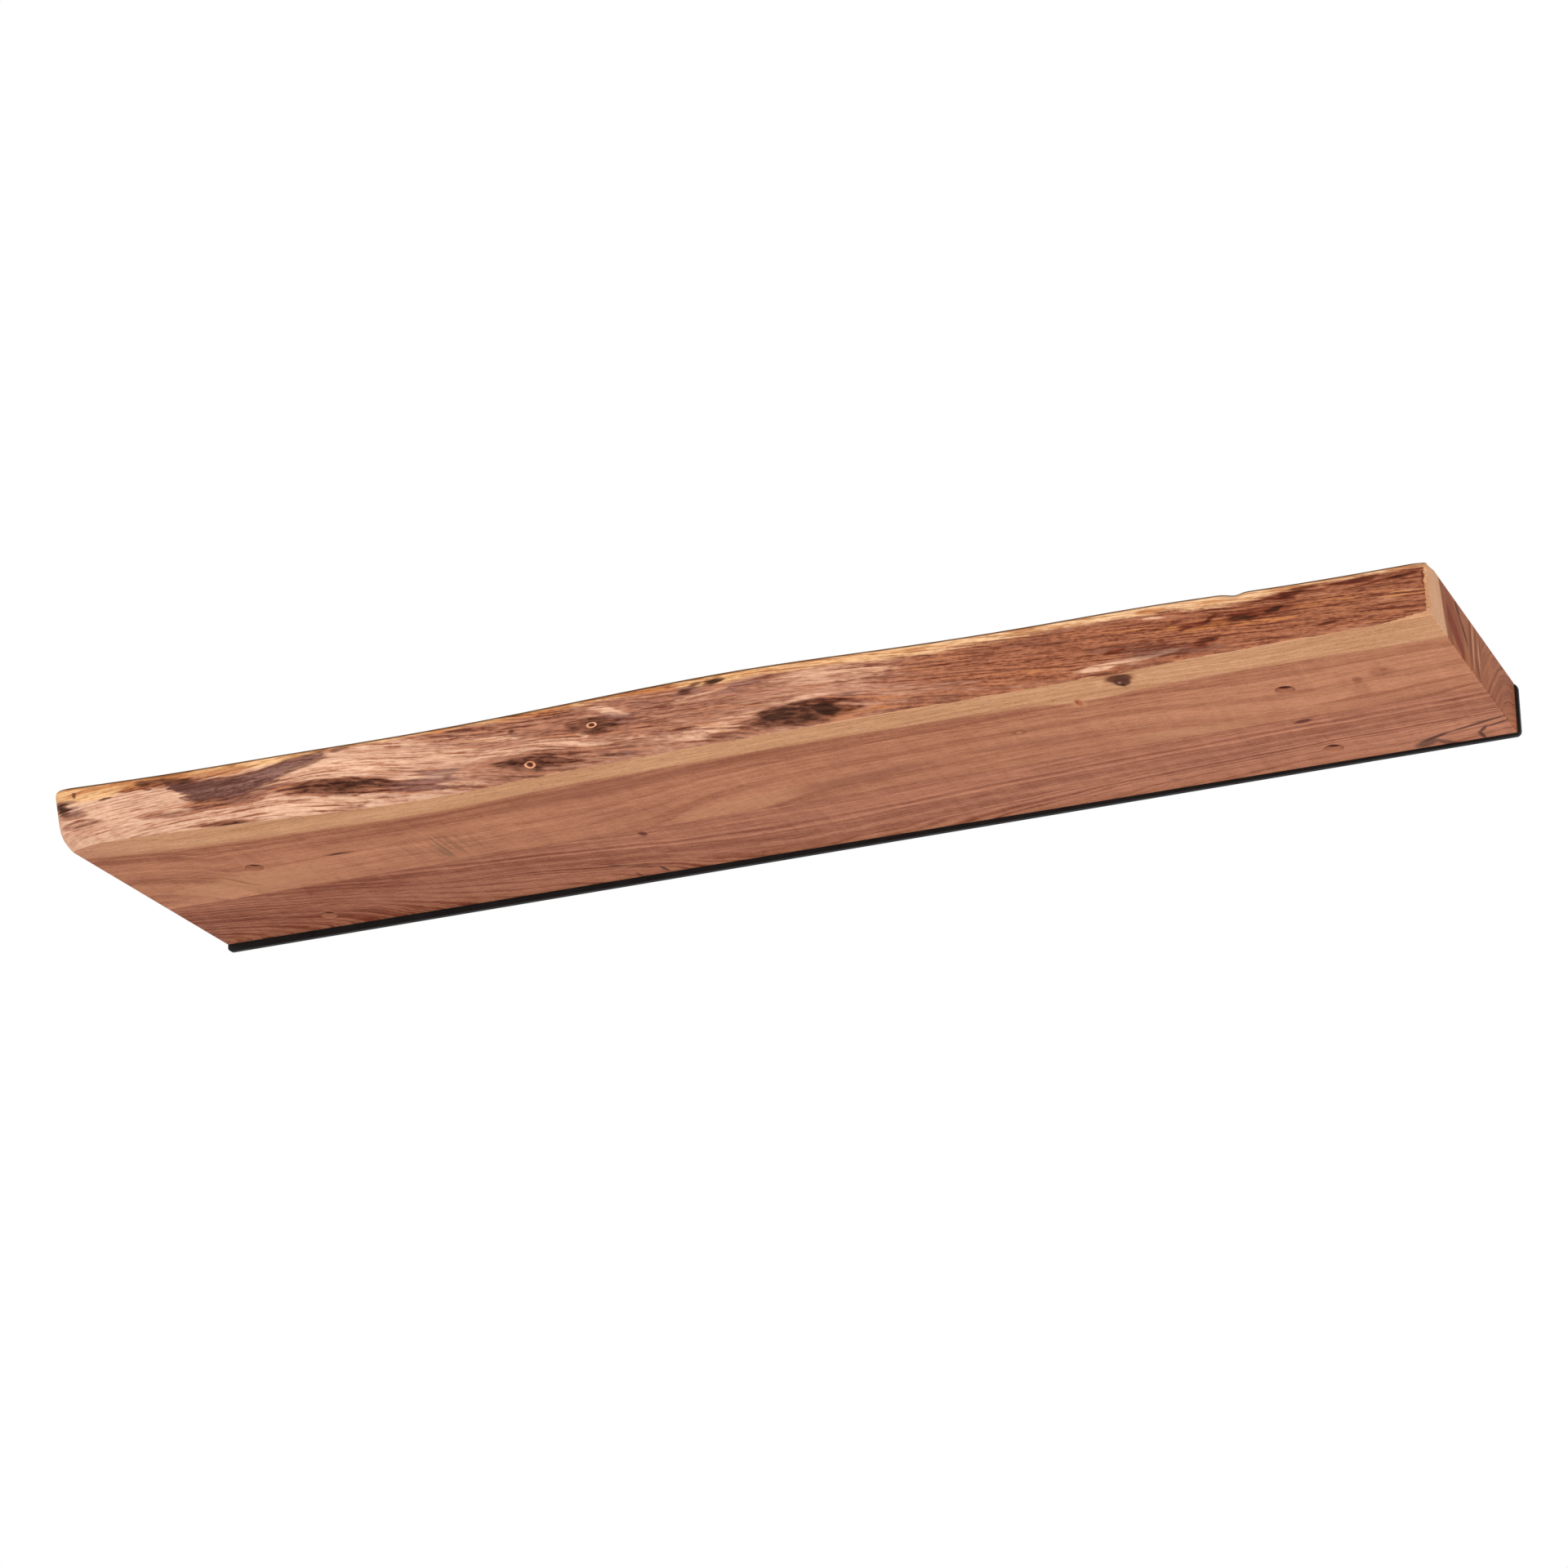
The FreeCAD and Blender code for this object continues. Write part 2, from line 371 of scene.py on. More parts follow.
# %% [markdown]
# ## The front stave: the live edge's outline
# Sawn from the side of the log, the front stave keeps the tree's own surface as its front edge. Its
# outline was measured at twelve even stations: how far its top stands out, and how far its foot lies
# behind its top. The face leans back evenly and curls under near its foot. The left-hand corner has been
# rounded off by hand, and the right-hand corner is only eased.

# %% Outline of the live edge
DEPTH = 231.0  # from the back face to the top of the live edge, at the right-hand end
REACH = [37.5, 29.5, 26.0, 22.0, 22.5, 26.3, 26.5, 18.0, 11.6, 9.3, 2.0, 0.0]
UNDERCUT = [24.0, 23.0, 31.0, 36.0, 33.0, 33.0, 32.5, 25.0, 19.0, 15.0, 6.0, 4.0]
STATIONS = np.linspace(LEFT, RIGHT, len(REACH))
LEAN_SHARE, CURL_POWER = 0.6, 8
ARRIS = 1.3  # radius of the eased arrises
LEFT_FOOT, LEFT_TOP, RIGHT_TOP = (8.0, 22), (4.5, 9), (2.5, 7)  # extra radius at an end, its reach
LEFT_CORNER, RIGHT_CORNER = 8.0, 2.2  # radii in plan
LEFT_DROP, RIGHT_DROP = 6.0, 5.0  # radii of the top's corners, seen from the front


def hollow(radius, distance):
    """How far a quarter circle of that radius lies behind its corner, at a distance from the corner."""
    inside = np.clip(radius - distance, 0, radius)
    return radius - np.sqrt(np.maximum(radius**2 - inside**2, 0))


def live_face(x, z):
    """The live face's y: the outline less its lean and curl, and rounded at top, foot and both ends."""
    level = np.clip((TOP - z) / THICKNESS, 0, 1)
    share = LEAN_SHARE * level + (1 - LEAN_SHARE) * level**CURL_POWER
    reach = lath_curve(STATIONS, REACH, x) - lath_curve(STATIONS, UNDERCUT, x) * share
    foot_radius = ARRIS + LEFT_FOOT[0] * bell(x - LEFT, LEFT_FOOT[1])
    top_radius = ARRIS + LEFT_TOP[0] * bell(x - LEFT, LEFT_TOP[1])
    top_radius = top_radius + RIGHT_TOP[0] * bell(RIGHT - x, RIGHT_TOP[1])
    rounded = hollow(top_radius, TOP - z) + hollow(foot_radius, z - FOOT)
    rounded = rounded + hollow(LEFT_CORNER, x - LEFT) + hollow(RIGHT_CORNER, RIGHT - x)
    return BACK - DEPTH - reach + rounded


# %% [markdown]
# ## What grew on the live edge
# Under the bark lies a skin of long fibres, pale where it is fresh and brown or violet where bark and
# branches sat. Each mark is one line of a table: its place along the board and its height, half its length
# and half its height, its tilt in degrees and its strength. The marks' rims are frayed by noise that is
# drawn out along the fibres, as the real ones are.

# %% Marks on the live edge: x, z, half length, half height, tilt, strength
BROWN_MARKS = [
    (-530, -8, 18, 9, 0, 0.62),
    (-455, 12, 48, 4.4, -3, 1.0),
    (-445, -12.5, 30, 2.6, -4, 0.62),
    (-210, 12, 24, 6, -8, 0.8),
    (-396, -9.5, 52, 5.4, -1, 0.95),
    (-312, -9.5, 56, 8, -2, 1.0),
    (-412, -20.6, 24, 1.1, 0, 0.9),
    (-250, -15.5, 50, 4.5, -3, 0.85),
    (-228, 0, 26, 1.8, -6, 0.75),
    (-254, 10.5, 12, 1.5, -6, 0.7),
    (-172, 11, 58, 4.2, -5, 0.95),
    (-110, 6, 52, 7, -14, 0.95),
    (-140, -14.5, 50, 6.5, -3, 0.95),
    (-40, 9, 45, 8, -10, 0.85),
    (-40, -6, 62, 6, -12, 0.85),
    (-25, -18, 60, 2.6, -2, 0.72),
    (18, 14, 19, 2.3, 2, 0.9),
    (55, 9.6, 34, 3.2, 5, 0.85),
    (25, 0, 30, 4.5, 6, 0.75),
    (70, -2, 45, 3.2, 8, 0.5),
    (84, -15, 46, 6.2, 3, 0.95),
    (170, -18, 38, 2.4, -4, 0.62),
    (232, 0, 100, 9.5, -3, 0.9),
    (250, -11, 100, 7, -4, 0.85),
    (400, -4, 160, 13, 0, 1.0),
    (505, 3, 90, 11, 2, 1.0),
    (500, -14, 90, 6, 2, 0.95),
    (450, 11, 30, 3, 2, 0.95),
    (317, -21.3, 23, 0.75, 0, 0.95),
]
VIOLET_MARKS = [
    (-536, 1.6, 13, 4.6, -6, 0.85),
    (-465, -5, 14, 1.2, 0, 0.6),
    (-371, -3.4, 18, 1.5, 4, 0.9),
    (-385, -7, 22, 2.5, 4, 0.5),
    (-232, -14.6, 32, 5.4, 2, 0.85),
    (-214, -13.5, 16, 2.4, 2, 0.9),
    (-158, -15, 12, 4.0, -2, 0.85),
    (-72, 1, 20, 4.5, -8, 0.7),
    (-104, 3.5, 10, 2.4, -8, 0.85),
    (-40, 7, 24, 4.5, -14, 0.4),
    (-6, 10.4, 12, 3.6, -2, 1.0),
    (45, 9, 26, 3.0, 7, 0.55),
    (15, -1, 26, 3.0, 3, 0.45),
    (75, -11.2, 26, 1.7, 5, 0.85),
    (118, -9, 11, 1.1, -2, 0.85),
    (-70, -19.4, 18, 1.0, -3, 0.85),
    (192, -19.4, 15, 1.2, 0, 0.75),
    (262, 6, 22, 3.0, -5, 0.5),
    (345, -13.5, 46, 4.2, -5, 0.85),
    (380, -17, 30, 3.2, -2, 0.55),
    (384, -1, 12, 2.6, 12, 0.62),
]
DARK_MARKS = [
    (-542, 1.8, 8.5, 4.2, -4, 1.15),
    (-504.5, 5.9, 5.5, 0.9, 5, 0.9),
    (-531, 12.2, 1.6, 2.4, 10, 0.75),
    (-524, -11, 10, 1.0, 8, 0.6),
    (-440, 10.8, 22, 2.4, -8, 0.85),
    (-462, 13.4, 26, 1.8, -3, 0.7),
    (-418, 8.6, 14, 1.6, -5, 0.6),
    (-471, 13.8, 10, 2.4, -5, 0.75),
    (-467, 8.4, 5, 0.9, 0, 0.8),
    (-411, -21, 18, 0.9, 0, 0.75),
    (-300, 14.8, 9, 1.6, 6, 0.6),
    (-305, -9.0, 38, 5.6, -3, 0.8),
    (-301, -8.4, 12, 2.2, -5, 1.0),
    (-283.5, -9.6, 8, 1.5, -6, 0.95),
    (-314, -10.5, 7, 1.2, -4, 0.9),
    (-153.4, 6.4, 3.2, 1.2, 0, 0.95),
    (-86, -0.4, 20, 5.4, -7, 0.85),
    (-72, -2.6, 13, 2.2, -8, 0.85),
    (-98, 1.6, 13, 2.2, -8, 0.7),
    (-144, -16.0, 28, 6.0, -2, 0.82),
    (-144, -16.6, 9, 3.6, -3, 0.9),
    (-158, -14.5, 7, 2.0, 0, 0.8),
    (-104, 3.4, 8, 1.6, -8, 0.75),
    (-120, -18.8, 16, 1.2, 2, 0.75),
    (-75, -19.2, 12, 0.9, -3, 0.7),
    (17, 13.8, 10, 2.3, 4, 1.05),
    (3, 13.6, 8, 1.5, 4, 0.9),
    (-7, 10.2, 7, 1.9, 0, 0.75),
    (80, -15.4, 40, 5.6, 2, 0.9),
    (66, -14.6, 17, 3.6, 3, 1.05),
    (98, -14.8, 11, 4.0, -5, 1.25),
    (84, -18.0, 12, 2.0, 3, 0.95),
    (72, -11.6, 26, 1.1, 6, 0.85),
    (112, -12.0, 18, 1.0, -12, 0.8),
    (88, -10.2, 20, 0.9, -1, 0.7),
    (68, -19.3, 16, 1.0, 0, 0.75),
    (116, -17.5, 12, 0.9, 4, 0.7),
    (320, -10.2, 11, 1.7, 5, 0.85),
    (387, -13.8, 9, 2.4, 6, 0.95),
    (343, -6.2, 9, 0.8, -8, 0.6),
    (356, -7.6, 3.5, 1.2, 0, 0.8),
    (372, -3, 4, 0.9, 0, 0.7),
    (393, 2.2, 6, 1.8, 20, 0.95),
    (415, 0.4, 13, 2.8, -3, 1.0),
    (438, 1.4, 8, 2.0, 10, 1.05),
    (381, -0.6, 10, 1.9, 4, 0.85),
    (424, 1.2, 28, 4.0, 2, 0.6),
    (452, 10.6, 15, 2.8, 8, 1.0),
    (430, 9.0, 16, 1.3, 6, 0.75),
    (500, 13.0, 18, 1.8, 2, 1.0),
    (470, 10.2, 14, 1.2, 4, 0.65),
    (533, 10.6, 15, 1.8, 8, 1.0),
    (500, 8.2, 34, 1.0, 5, 0.6),
    (475, -15.2, 8, 1.1, 3, 0.95),
    (546, 6, 1.5, 8, 0, 0.55),
]
PALE_MARKS = [
    (-490, -2, 50, 8, 6, 0.5),
    (-335, -17.2, 44, 2.8, 0, 1.0),
    (-300, 3, 50, 4.5, -4, 0.75),
    (-250, 4, 45, 7, -4, 0.6),
    (-195, -4, 60, 4.5, -5, 0.7),
    (-120, -5, 52, 3.0, -10, 0.7),
    (-40, -14.5, 45, 1.6, -5, 0.55),
    (-74, 9, 14, 2.6, -18, 0.95),
    (-95, -5.4, 6, 2.2, -30, 0.8),
    (8, -14.5, 36, 3.6, 3, 0.7),
    (8, 6.5, 30, 1.2, 4, 0.55),
    (90, -6.8, 26, 2.0, 0, 0.75),
    (104, 5.2, 46, 4.4, -4, 0.62),
    (320, -17.9, 32, 1.7, 2, 0.85),
    (352, -16.6, 14, 1.4, 4, 0.75),
    (352, 8.5, 8, 0.6, -3, 0.7),
    (480, 6.3, 18, 0.6, -4, 0.6),
    (525, -3, 18, 3.0, 6, 0.55),
]
RUST_MARKS = [
    (-462, 14.0, 52, 4.5, 0, 0.95),
    (-520, 16.0, 26, 2.0, 0, 0.6),
    (-402, 13.0, 28, 3.2, -4, 0.7),
    (-392, -12.0, 50, 3.0, -2, 0.2),
    (-216, 17.0, 6, 2.0, 0, 0.8),
    (-175, 14.6, 60, 1.6, -1, 0.5),
    (-118, 15.0, 28, 1.8, 0, 0.7),
    (-84, 16.0, 11, 1.6, 0, 0.7),
    (-30, 15.0, 34, 3.0, -2, 0.9),
    (65, -4.0, 34, 3.0, 6, 0.4),
    (109, -18.4, 9, 1.5, 4, 0.95),
    (140, -17.0, 34, 2.6, 4, 0.25),
    (172, 14.0, 12, 2.4, 0, 0.7),
    (255, 13.5, 16, 3.2, 0, 0.7),
    (350, 13.8, 14, 1.6, 0, 0.7),
    (385, -3.6, 24, 1.8, 4, 0.8),
    (425, -4.0, 60, 3.4, -4, 0.5),
    (470, 15.0, 30, 2.4, 0, 0.65),
    (524, -3.5, 13, 2.4, 0, 0.8),
    (490, -4.0, 60, 6.0, 0, 0.35),
    (535, 15.5, 18, 2.4, 0, 0.6),
]
PIN_KNOTS = [(-86, 0.1, 4.4, 1.9), (-144.4, -16.6, 4.6, 1.75)]  # x, z, half length, half height
# Lines along the board, each as places and heights: where the gold starts, the two rims of the grey patch
# and the lower rim of the brown on the right. The last pair says how brown the bare fibres are at a place.
GOLD_KNOTS = [-550, -500, -450, -400, -300, -220, -100, -30, -5, 40]
GOLD_KNOTS += [75, 150, 240, 300, 365, 380, 425, 445, 550]
GOLD_FROM = [5, 7, 13, 12, 15, 15.5, 15, 16, 12.5, 12, 12.5, 11, 11.5, 12, 12, 10, 10, 14, 14.5]
GREY_TOP_X = [-455, -440, -411, -390, -372, -346, -320, -306]
GREY_TOP = [12.8, 10.6, 7.4, 7.2, 8.4, 12.3, 14.2, 15.5]
GREY_LOW_X = [-464, -448, -438, -424, -391, -372, -355, -346, -323, -312, -306]
GREY_LOW = [12, 8, 0, -5.5, -6.3, -1.9, 1.5, 6.0, 10.0, 12.5, 15]
BROWN_FOOT_X = [160, 200, 275, 290, 340, 355, 550]
BROWN_FOOT = [-12, -19, -18, -15, -16, -20, -19.5]
STREAKY_X = [-550, -470, -290, -220, -180, -100, 0, 60, 130, 200]
STREAKY_BROWN = [0.16, 0.18, 0.24, 0.4, 0.66, 0.68, 0.68, 0.62, 0.58, 0.75]


def gathered(marks, x, z, fray):
    """The strongest of a table's soft ellipses at each point: the distance in half sizes, plus the fray."""
    total = np.zeros(x.shape)
    for mark_x, mark_z, length, height, tilt, strength in marks:
        turn = math.radians(tilt)
        along = (x - mark_x) * math.cos(turn) + (z - mark_z) * math.sin(turn)
        across = (z - mark_z) * math.cos(turn) - (x - mark_x) * math.sin(turn)
        distance = np.sqrt((along / length) ** 2 + (across / height) ** 2) + fray
        total = np.maximum(total, strength * smooth_step(distance, 1.4, 0.5))
    return total


print("marks:", len(BROWN_MARKS + VIOLET_MARKS + DARK_MARKS + PALE_MARKS + RUST_MARKS))

# %% [markdown]
# ## Fibres
# The fibres don't run straight along the board: at the left-hand end they climb, then they fall slowly to
# the right, and they bend round every knot like water round a stone. So each point of the live face gets
# two fibre coordinates, one along and one across the fibres. Noise on these two, drawn out along the first,
# makes both the fine ridges of the surface and, in the material, the streaks of its colour.

# %% Fibre coordinates
FIBRE_X = [-550, -500, -450, -400, -350, -300, -250, -150, 0, 150, 300, 450, 550]
FIBRE_Z = [0, 5, 8, 10, 11.5, 10, 6, -2, -12, -19, -27, -35, -41]
# What the fibres bend round: x, z, half length, half height, and how far they are lifted
STONES = [
    (-303, -9, 60, 9, 4.0),
    (-88, 0, 26, 6, 2.6),
    (-143, -16, 34, 6, 3.0),
    (90, -15, 62, 12, 4.5),
    (18, 14, 30, 4, -2.0),
]


def fibre_across(x, z):
    """Height above the fibre that passes: z less the fibres' fall, and less a hump over each knot."""
    across = z - lath_curve(FIBRE_X, FIBRE_Z, x)
    for stone_x, stone_z, length, height, lift in STONES:
        hump = bell(x - stone_x, length)
        side = np.tanh((z - stone_z) / height)
        across = across - lift * hump * side * bell(z - stone_z, 2 * height)
    return across


# %% [markdown]
# ## The front stave: one ring after another
# Each ring of points goes round the stave: down the live face, back along the underside, up the glue face
# and forward along the top. About a thousand rings follow each other along the board, close enough for
# the fine ridges of the live face to be real shape. At both ends the last rings shrink by not quite a
# millimetre, as a hand plane eases an end. On the face that is glued nothing shrinks, or a gap would show.

# %% Rings of the front stave
FACE_STEPS, STATION_STEP = 60, 1.12
EASE = 0.9  # how far the ends are eased
TOP_STRIP = 12.0  # the top's corners are rounded over this strip behind the live edge
NOTCH_X, NOTCH_HALF, NOTCH_HEIGHT, NOTCH_DEPTH = 411, 6.0, 6, 3.8  # a chip out of the top arris
# Swellings and hollows: how far each stands out, then its mark as in the tables above
SWELLINGS = [
    (1.6, (85, -14, 48, 8, 3, 1.0)),
    (-2.0, (97, -15.2, 12, 3, -5, 1.0)),
    (0.8, (-303, -9, 42, 8, -3, 1.0)),
    (-2.2, (-301, -9, 15, 2.6, -6, 1.0)),
    (-1.6, (19, 14, 8, 1.9, 4, 1.0)),
]


def eased_ends(low, high, step):
    """Places along the board, with a quarter circle's steps at both ends, and each one's shrinkage."""
    turn = np.linspace(0, math.pi / 2, 5)
    rim = EASE * (1 - np.cos(turn))
    shrink = EASE * (1 - np.sin(turn))
    close = np.arange(EASE + 0.35, LEFT_CORNER, 0.45)
    middle = np.linspace(low + LEFT_CORNER, high - LEFT_CORNER, int((high - low) / step))
    places = np.concatenate([low + rim, low + close, middle, high - close[::-1], high - rim[::-1]])
    inner = np.zeros(len(places) - 2 * len(rim))
    return places, np.concatenate([shrink, inner, shrink[::-1]])


def face_heights():
    """Heights down the live face: close together on the two arrises and even in between."""
    turn = np.linspace(0, math.pi / 2, 5)[:-1]
    rim = ARRIS * (1 - np.cos(turn))
    middle = np.linspace(TOP - ARRIS, FOOT + ARRIS, FACE_STEPS)
    return np.concatenate([TOP - rim, middle, FOOT + rim[::-1]])


def relief(x, z):
    """How far the live face stands out, in millimetres: long waves, fibres, knots and hollows."""
    across = fibre_across(x, z)
    waves = 1.5 * rough_noise(x / 70, z / 16, 11)
    ridges = 0.5 * rough_noise(x / 50, across / 2.1, 21) + 0.3 * rough_noise(x / 22, across / 0.9, 31)
    knots = sum(height * gathered([mark], x, z, 0) for height, mark in SWELLINGS)
    return waves + ridges + knots


rings_x, ring_shrink = eased_ends(LEFT, RIGHT, STATION_STEP)
heights = face_heights()
face_x, face_z = np.meshgrid(rings_x, heights, indexing="ij")
fray = 1.0 * rough_noise(face_x / 60, fibre_across(face_x, face_z) / 2.6, 41)
fray = fray + 0.9 * rough_noise(face_x / 28, fibre_across(face_x, face_z) / 1.4, 51)
on_edge = smooth_step(TOP - face_z, 0.0, 3.0) * smooth_step(face_z - FOOT, 0.0, 3.5)
on_edge = on_edge * smooth_step(face_x - LEFT, 0.5, 12) * smooth_step(RIGHT - face_x, 0.5, 8)
pin_distance = [np.hypot((face_x - x) / a, (face_z - z) / b) for x, z, a, b in PIN_KNOTS]
pin_rim = sum(bell(distance - 0.8, 0.28) for distance in pin_distance)
pin_hole = sum(smooth_step(distance, 0.62, 0.25) for distance in pin_distance)
stand_out = (relief(face_x, face_z) + 0.7 * pin_rim - 1.0 * pin_hole) * on_edge
face_y = np.maximum(live_face(face_x, face_z) - stand_out, front_low[1])
notch = NOTCH_DEPTH * bell(face_x - NOTCH_X, NOTCH_HALF) * smooth_step(face_z, TOP - NOTCH_HEIGHT, TOP)
face_y = face_y + notch
relief_range = [round(float(value), 2) for value in (stand_out.min(), stand_out.max())]
print("live face:", face_y.shape, "points, relief", relief_range, "mm")

# %% Front stave: points, attributes and mesh
corner_y = np.full((len(rings_x), 3), GLUE)
corner_y[:, 2] = face_y[:, 0] + TOP_STRIP
corner_z = np.tile([FOOT, TOP, TOP], (len(rings_x), 1))
ring_y = np.concatenate([face_y, corner_y], axis=1)
ring_z = np.concatenate([face_z, corner_z], axis=1)
is_face = np.concatenate([np.ones_like(face_y), np.zeros_like(corner_y)], axis=1)
shrink = ring_shrink[:, None]
ring_y = ring_y + shrink * is_face * smooth_step(np.abs(ring_z - (TOP + FOOT) / 2), THICKNESS / 2 + 1, 0)
drop = hollow(LEFT_DROP, rings_x - LEFT) + hollow(RIGHT_DROP, RIGHT - rings_x)
ring_z = np.clip(ring_z, FOOT + shrink, TOP - shrink - 0.8 * drop[:, None] * is_face)
ring_x = np.repeat(rings_x[:, None], ring_y.shape[1], axis=1)
front_grid = np.stack([ring_x, ring_y, ring_z], axis=-1)


def on_ring(values):
    """A value of the live face's points, with 0 at the other corners of the ring."""
    return np.concatenate([values, np.zeros_like(corner_y)], axis=1)


corner_wedge = 3.4 * smooth_step(face_x, 508, 552)  # the skin's lower rim climbs at the right-hand corner
outer_skin = smooth_step(TOP - face_z, 0.05, 0.7) * smooth_step(face_z - FOOT - corner_wedge, 0.0, 0.2)
outer_skin = outer_skin * smooth_step(face_x - LEFT, 0.2, 0.9) * smooth_step(RIGHT - face_x + fray, 2.6, 4.0)
grey_top = np.interp(face_x, GREY_TOP_X, GREY_TOP)
grey_low = np.interp(face_x + 8 * fray, GREY_LOW_X, GREY_LOW)
grey_edge = np.minimum(grey_top - face_z, face_z - grey_low) + 1.6 * fray
grey_patch = smooth_step(grey_edge, -1.6, 1.6) * smooth_step(face_x + 9 * fray, -464, -442)
grey_patch = grey_patch * smooth_step(-face_x, 305, 316)
grey_rim = 0.7 * bell(face_z - grey_top - 0.4 + 0.6 * fray, 1.1)
low_rim = 0.62 * bell(face_z - grey_low + 0.9 + 0.8 * fray, 1.7)
low_rim = low_rim * smooth_step(face_x, -452, -440)
grey_rim = np.maximum(grey_rim * smooth_step(face_x, -425, -400), low_rim) * smooth_step(-face_x, 303, 316)
below_gold = np.interp(face_x, GOLD_KNOTS, GOLD_FROM) - face_z + 2 * fray
above_foot = face_z - np.interp(face_x, BROWN_FOOT_X, BROWN_FOOT) + fray
all_brown = smooth_step(face_x + 60 * fray, 150, 270) * smooth_step(below_gold, -1.0, 2.5)
all_brown = all_brown * smooth_step(above_foot, -0.8, 1.2)
streaky = np.interp(face_x, STREAKY_X, STREAKY_BROWN)
skin = {
    "skin": outer_skin,
    "brown": np.maximum(np.maximum(gathered(BROWN_MARKS, face_x, face_z, fray), all_brown), streaky),
    "violet": gathered(VIOLET_MARKS, face_x, face_z, fray),
    "dark": np.maximum(gathered(DARK_MARKS, face_x, face_z, 0.6 * fray), grey_rim),
    "rust": gathered(RUST_MARKS, face_x, face_z, fray),
    "pale": gathered(PALE_MARKS, face_x, face_z, fray),
    "patch": grey_patch,
    "pin": np.clip(pin_rim, 0, 1) - np.clip(pin_hole, 0, 1),
    "fibre": fibre_across(face_x, face_z),
}
skin_on_rings = {key: on_ring(value) for key, value in skin.items()}
front_stave = piece_from_rings("front_stave", front_grid, attributes=skin_on_rings)
print("front stave:", len(front_stave.data.polygons), "faces")

# %% [markdown]
# ## The back stave
# The back stave is a plain planed length. Its only shaping is the eased back arrises and ends, so its ring
# has a quarter circle at the two back corners and sharp corners where it is glued.

# %% Back stave
turn = np.linspace(0, math.pi / 2, 5)
round_y = np.concatenate([np.sin(turn), np.cos(turn)])
round_z = np.concatenate([np.cos(turn), -np.sin(turn)])
centre_z = np.repeat([TOP - ARRIS, FOOT + ARRIS], len(turn))
section_y = np.concatenate([[GLUE], BACK - ARRIS + ARRIS * round_y, [GLUE]])
section_z = np.concatenate([[TOP], centre_z + ARRIS * round_z, [FOOT]])
back_x, back_shrink = eased_ends(LEFT, RIGHT, 25.0)
back_ring_y = np.minimum(section_y[None, :], BACK - back_shrink[:, None])
back_ring_z = np.clip(section_z[None, :], FOOT + back_shrink[:, None], TOP - back_shrink[:, None])
back_ring_x = np.repeat(back_x[:, None], len(section_y), axis=1)
back_stave = piece_from_rings("rear_stave", np.stack([back_ring_x, back_ring_y, back_ring_z], axis=-1))
print("back stave:", len(back_stave.data.polygons), "faces")

# %% [markdown]
# ## Turned pieces
# The arms, inserts and screws are turned parts, and so are the drills' holes. Each one is a profile, a
# list of radii and distances along an axis, carried once round that axis. A turned part that is solid is
# closed by flat ends, and a tube's last ring meets its first. Two more shapes come from the same idea by
# changing the radius with the angle: the ripples of a weld and a hexagon socket.

# %% Surfaces of revolution
AXIS_UP = np.array([[1, 0, 0], [0, 1, 0], [0, 0, 1]])
AXIS_FORWARD = np.array([[1, 0, 0], [0, 0, 1], [0, -1, 0]])


def softened(profile, radius, steps=4):
    """A profile whose corners are rounded: each corner becomes a short curve between its two sides."""
    points = np.array(profile, float)
    inner = points[1:-1]
    before = points[:-2] - inner
    after = points[2:] - inner
    reach_before = np.minimum(radius / np.linalg.norm(before, axis=1), 0.45)[:, None]
    reach_after = np.minimum(radius / np.linalg.norm(after, axis=1), 0.45)[:, None]
    start = inner + before * reach_before
    end = inner + after * reach_after
    t = np.linspace(0, 1, steps)[None, :, None]
    curve = (1 - t) ** 2 * start[:, None] + 2 * t * (1 - t) * inner[:, None] + t**2 * end[:, None]
    return np.concatenate([points[:1], curve.reshape(-1, 2), points[-1:]])


def turned(name, profile, place, axis, sides=72, shape=None, joined=False):
    """A profile of (radius, distance) carried round an axis. The shape may change the radius by angle."""
    profile = np.array(profile, float)
    angle = np.linspace(0, 2 * math.pi, sides, endpoint=False)[None, :]
    radius = np.repeat(profile[:, :1], sides, axis=1)
    if shape is not None:
        radius = shape(radius, profile[:, 1:], angle)
    along = np.repeat(profile[:, 1:], sides, axis=1)
    local = np.stack([radius * np.cos(angle), radius * np.sin(angle), along], axis=-1)
    return piece_from_rings(name, local @ axis + np.array(place), joined=joined)


# %% [markdown]
# ## Holes in the board
# Two deep holes from the back take the arms, and they end a little past the arms' tips. Four shallow
# recesses in the underside take the inserts' flanges, each with a narrower hole up to the arm. They are
# drilled here as in the workshop: a cutter of the hole's shape is taken out of the wood, then thrown away.

# %% Drill the staves
ARM_X = {"left": -437.0, "right": 418.0}
FASTENER_Y = {"front": -149.0, "rear": -31.0}
ARM_RADIUS, ARM_LENGTH = 7.0, 165.0
BORE_RADIUS, BORE_LENGTH, MOUTH = 7.4, 169.0, 3.5
RECESS_RADIUS, RECESS_DEPTH, INSERT_RADIUS = 7.0, 7.5, 5.0
RECESS_EASE = 0.35  # the broken arris of a recess
OVERRUN = 3.0  # how far a cutter starts outside the wood
WOOD_SHARP, METAL_SHARP, SCREW_SHARP = 38, 35, 25  # edges sharper than this many degrees stay sharp

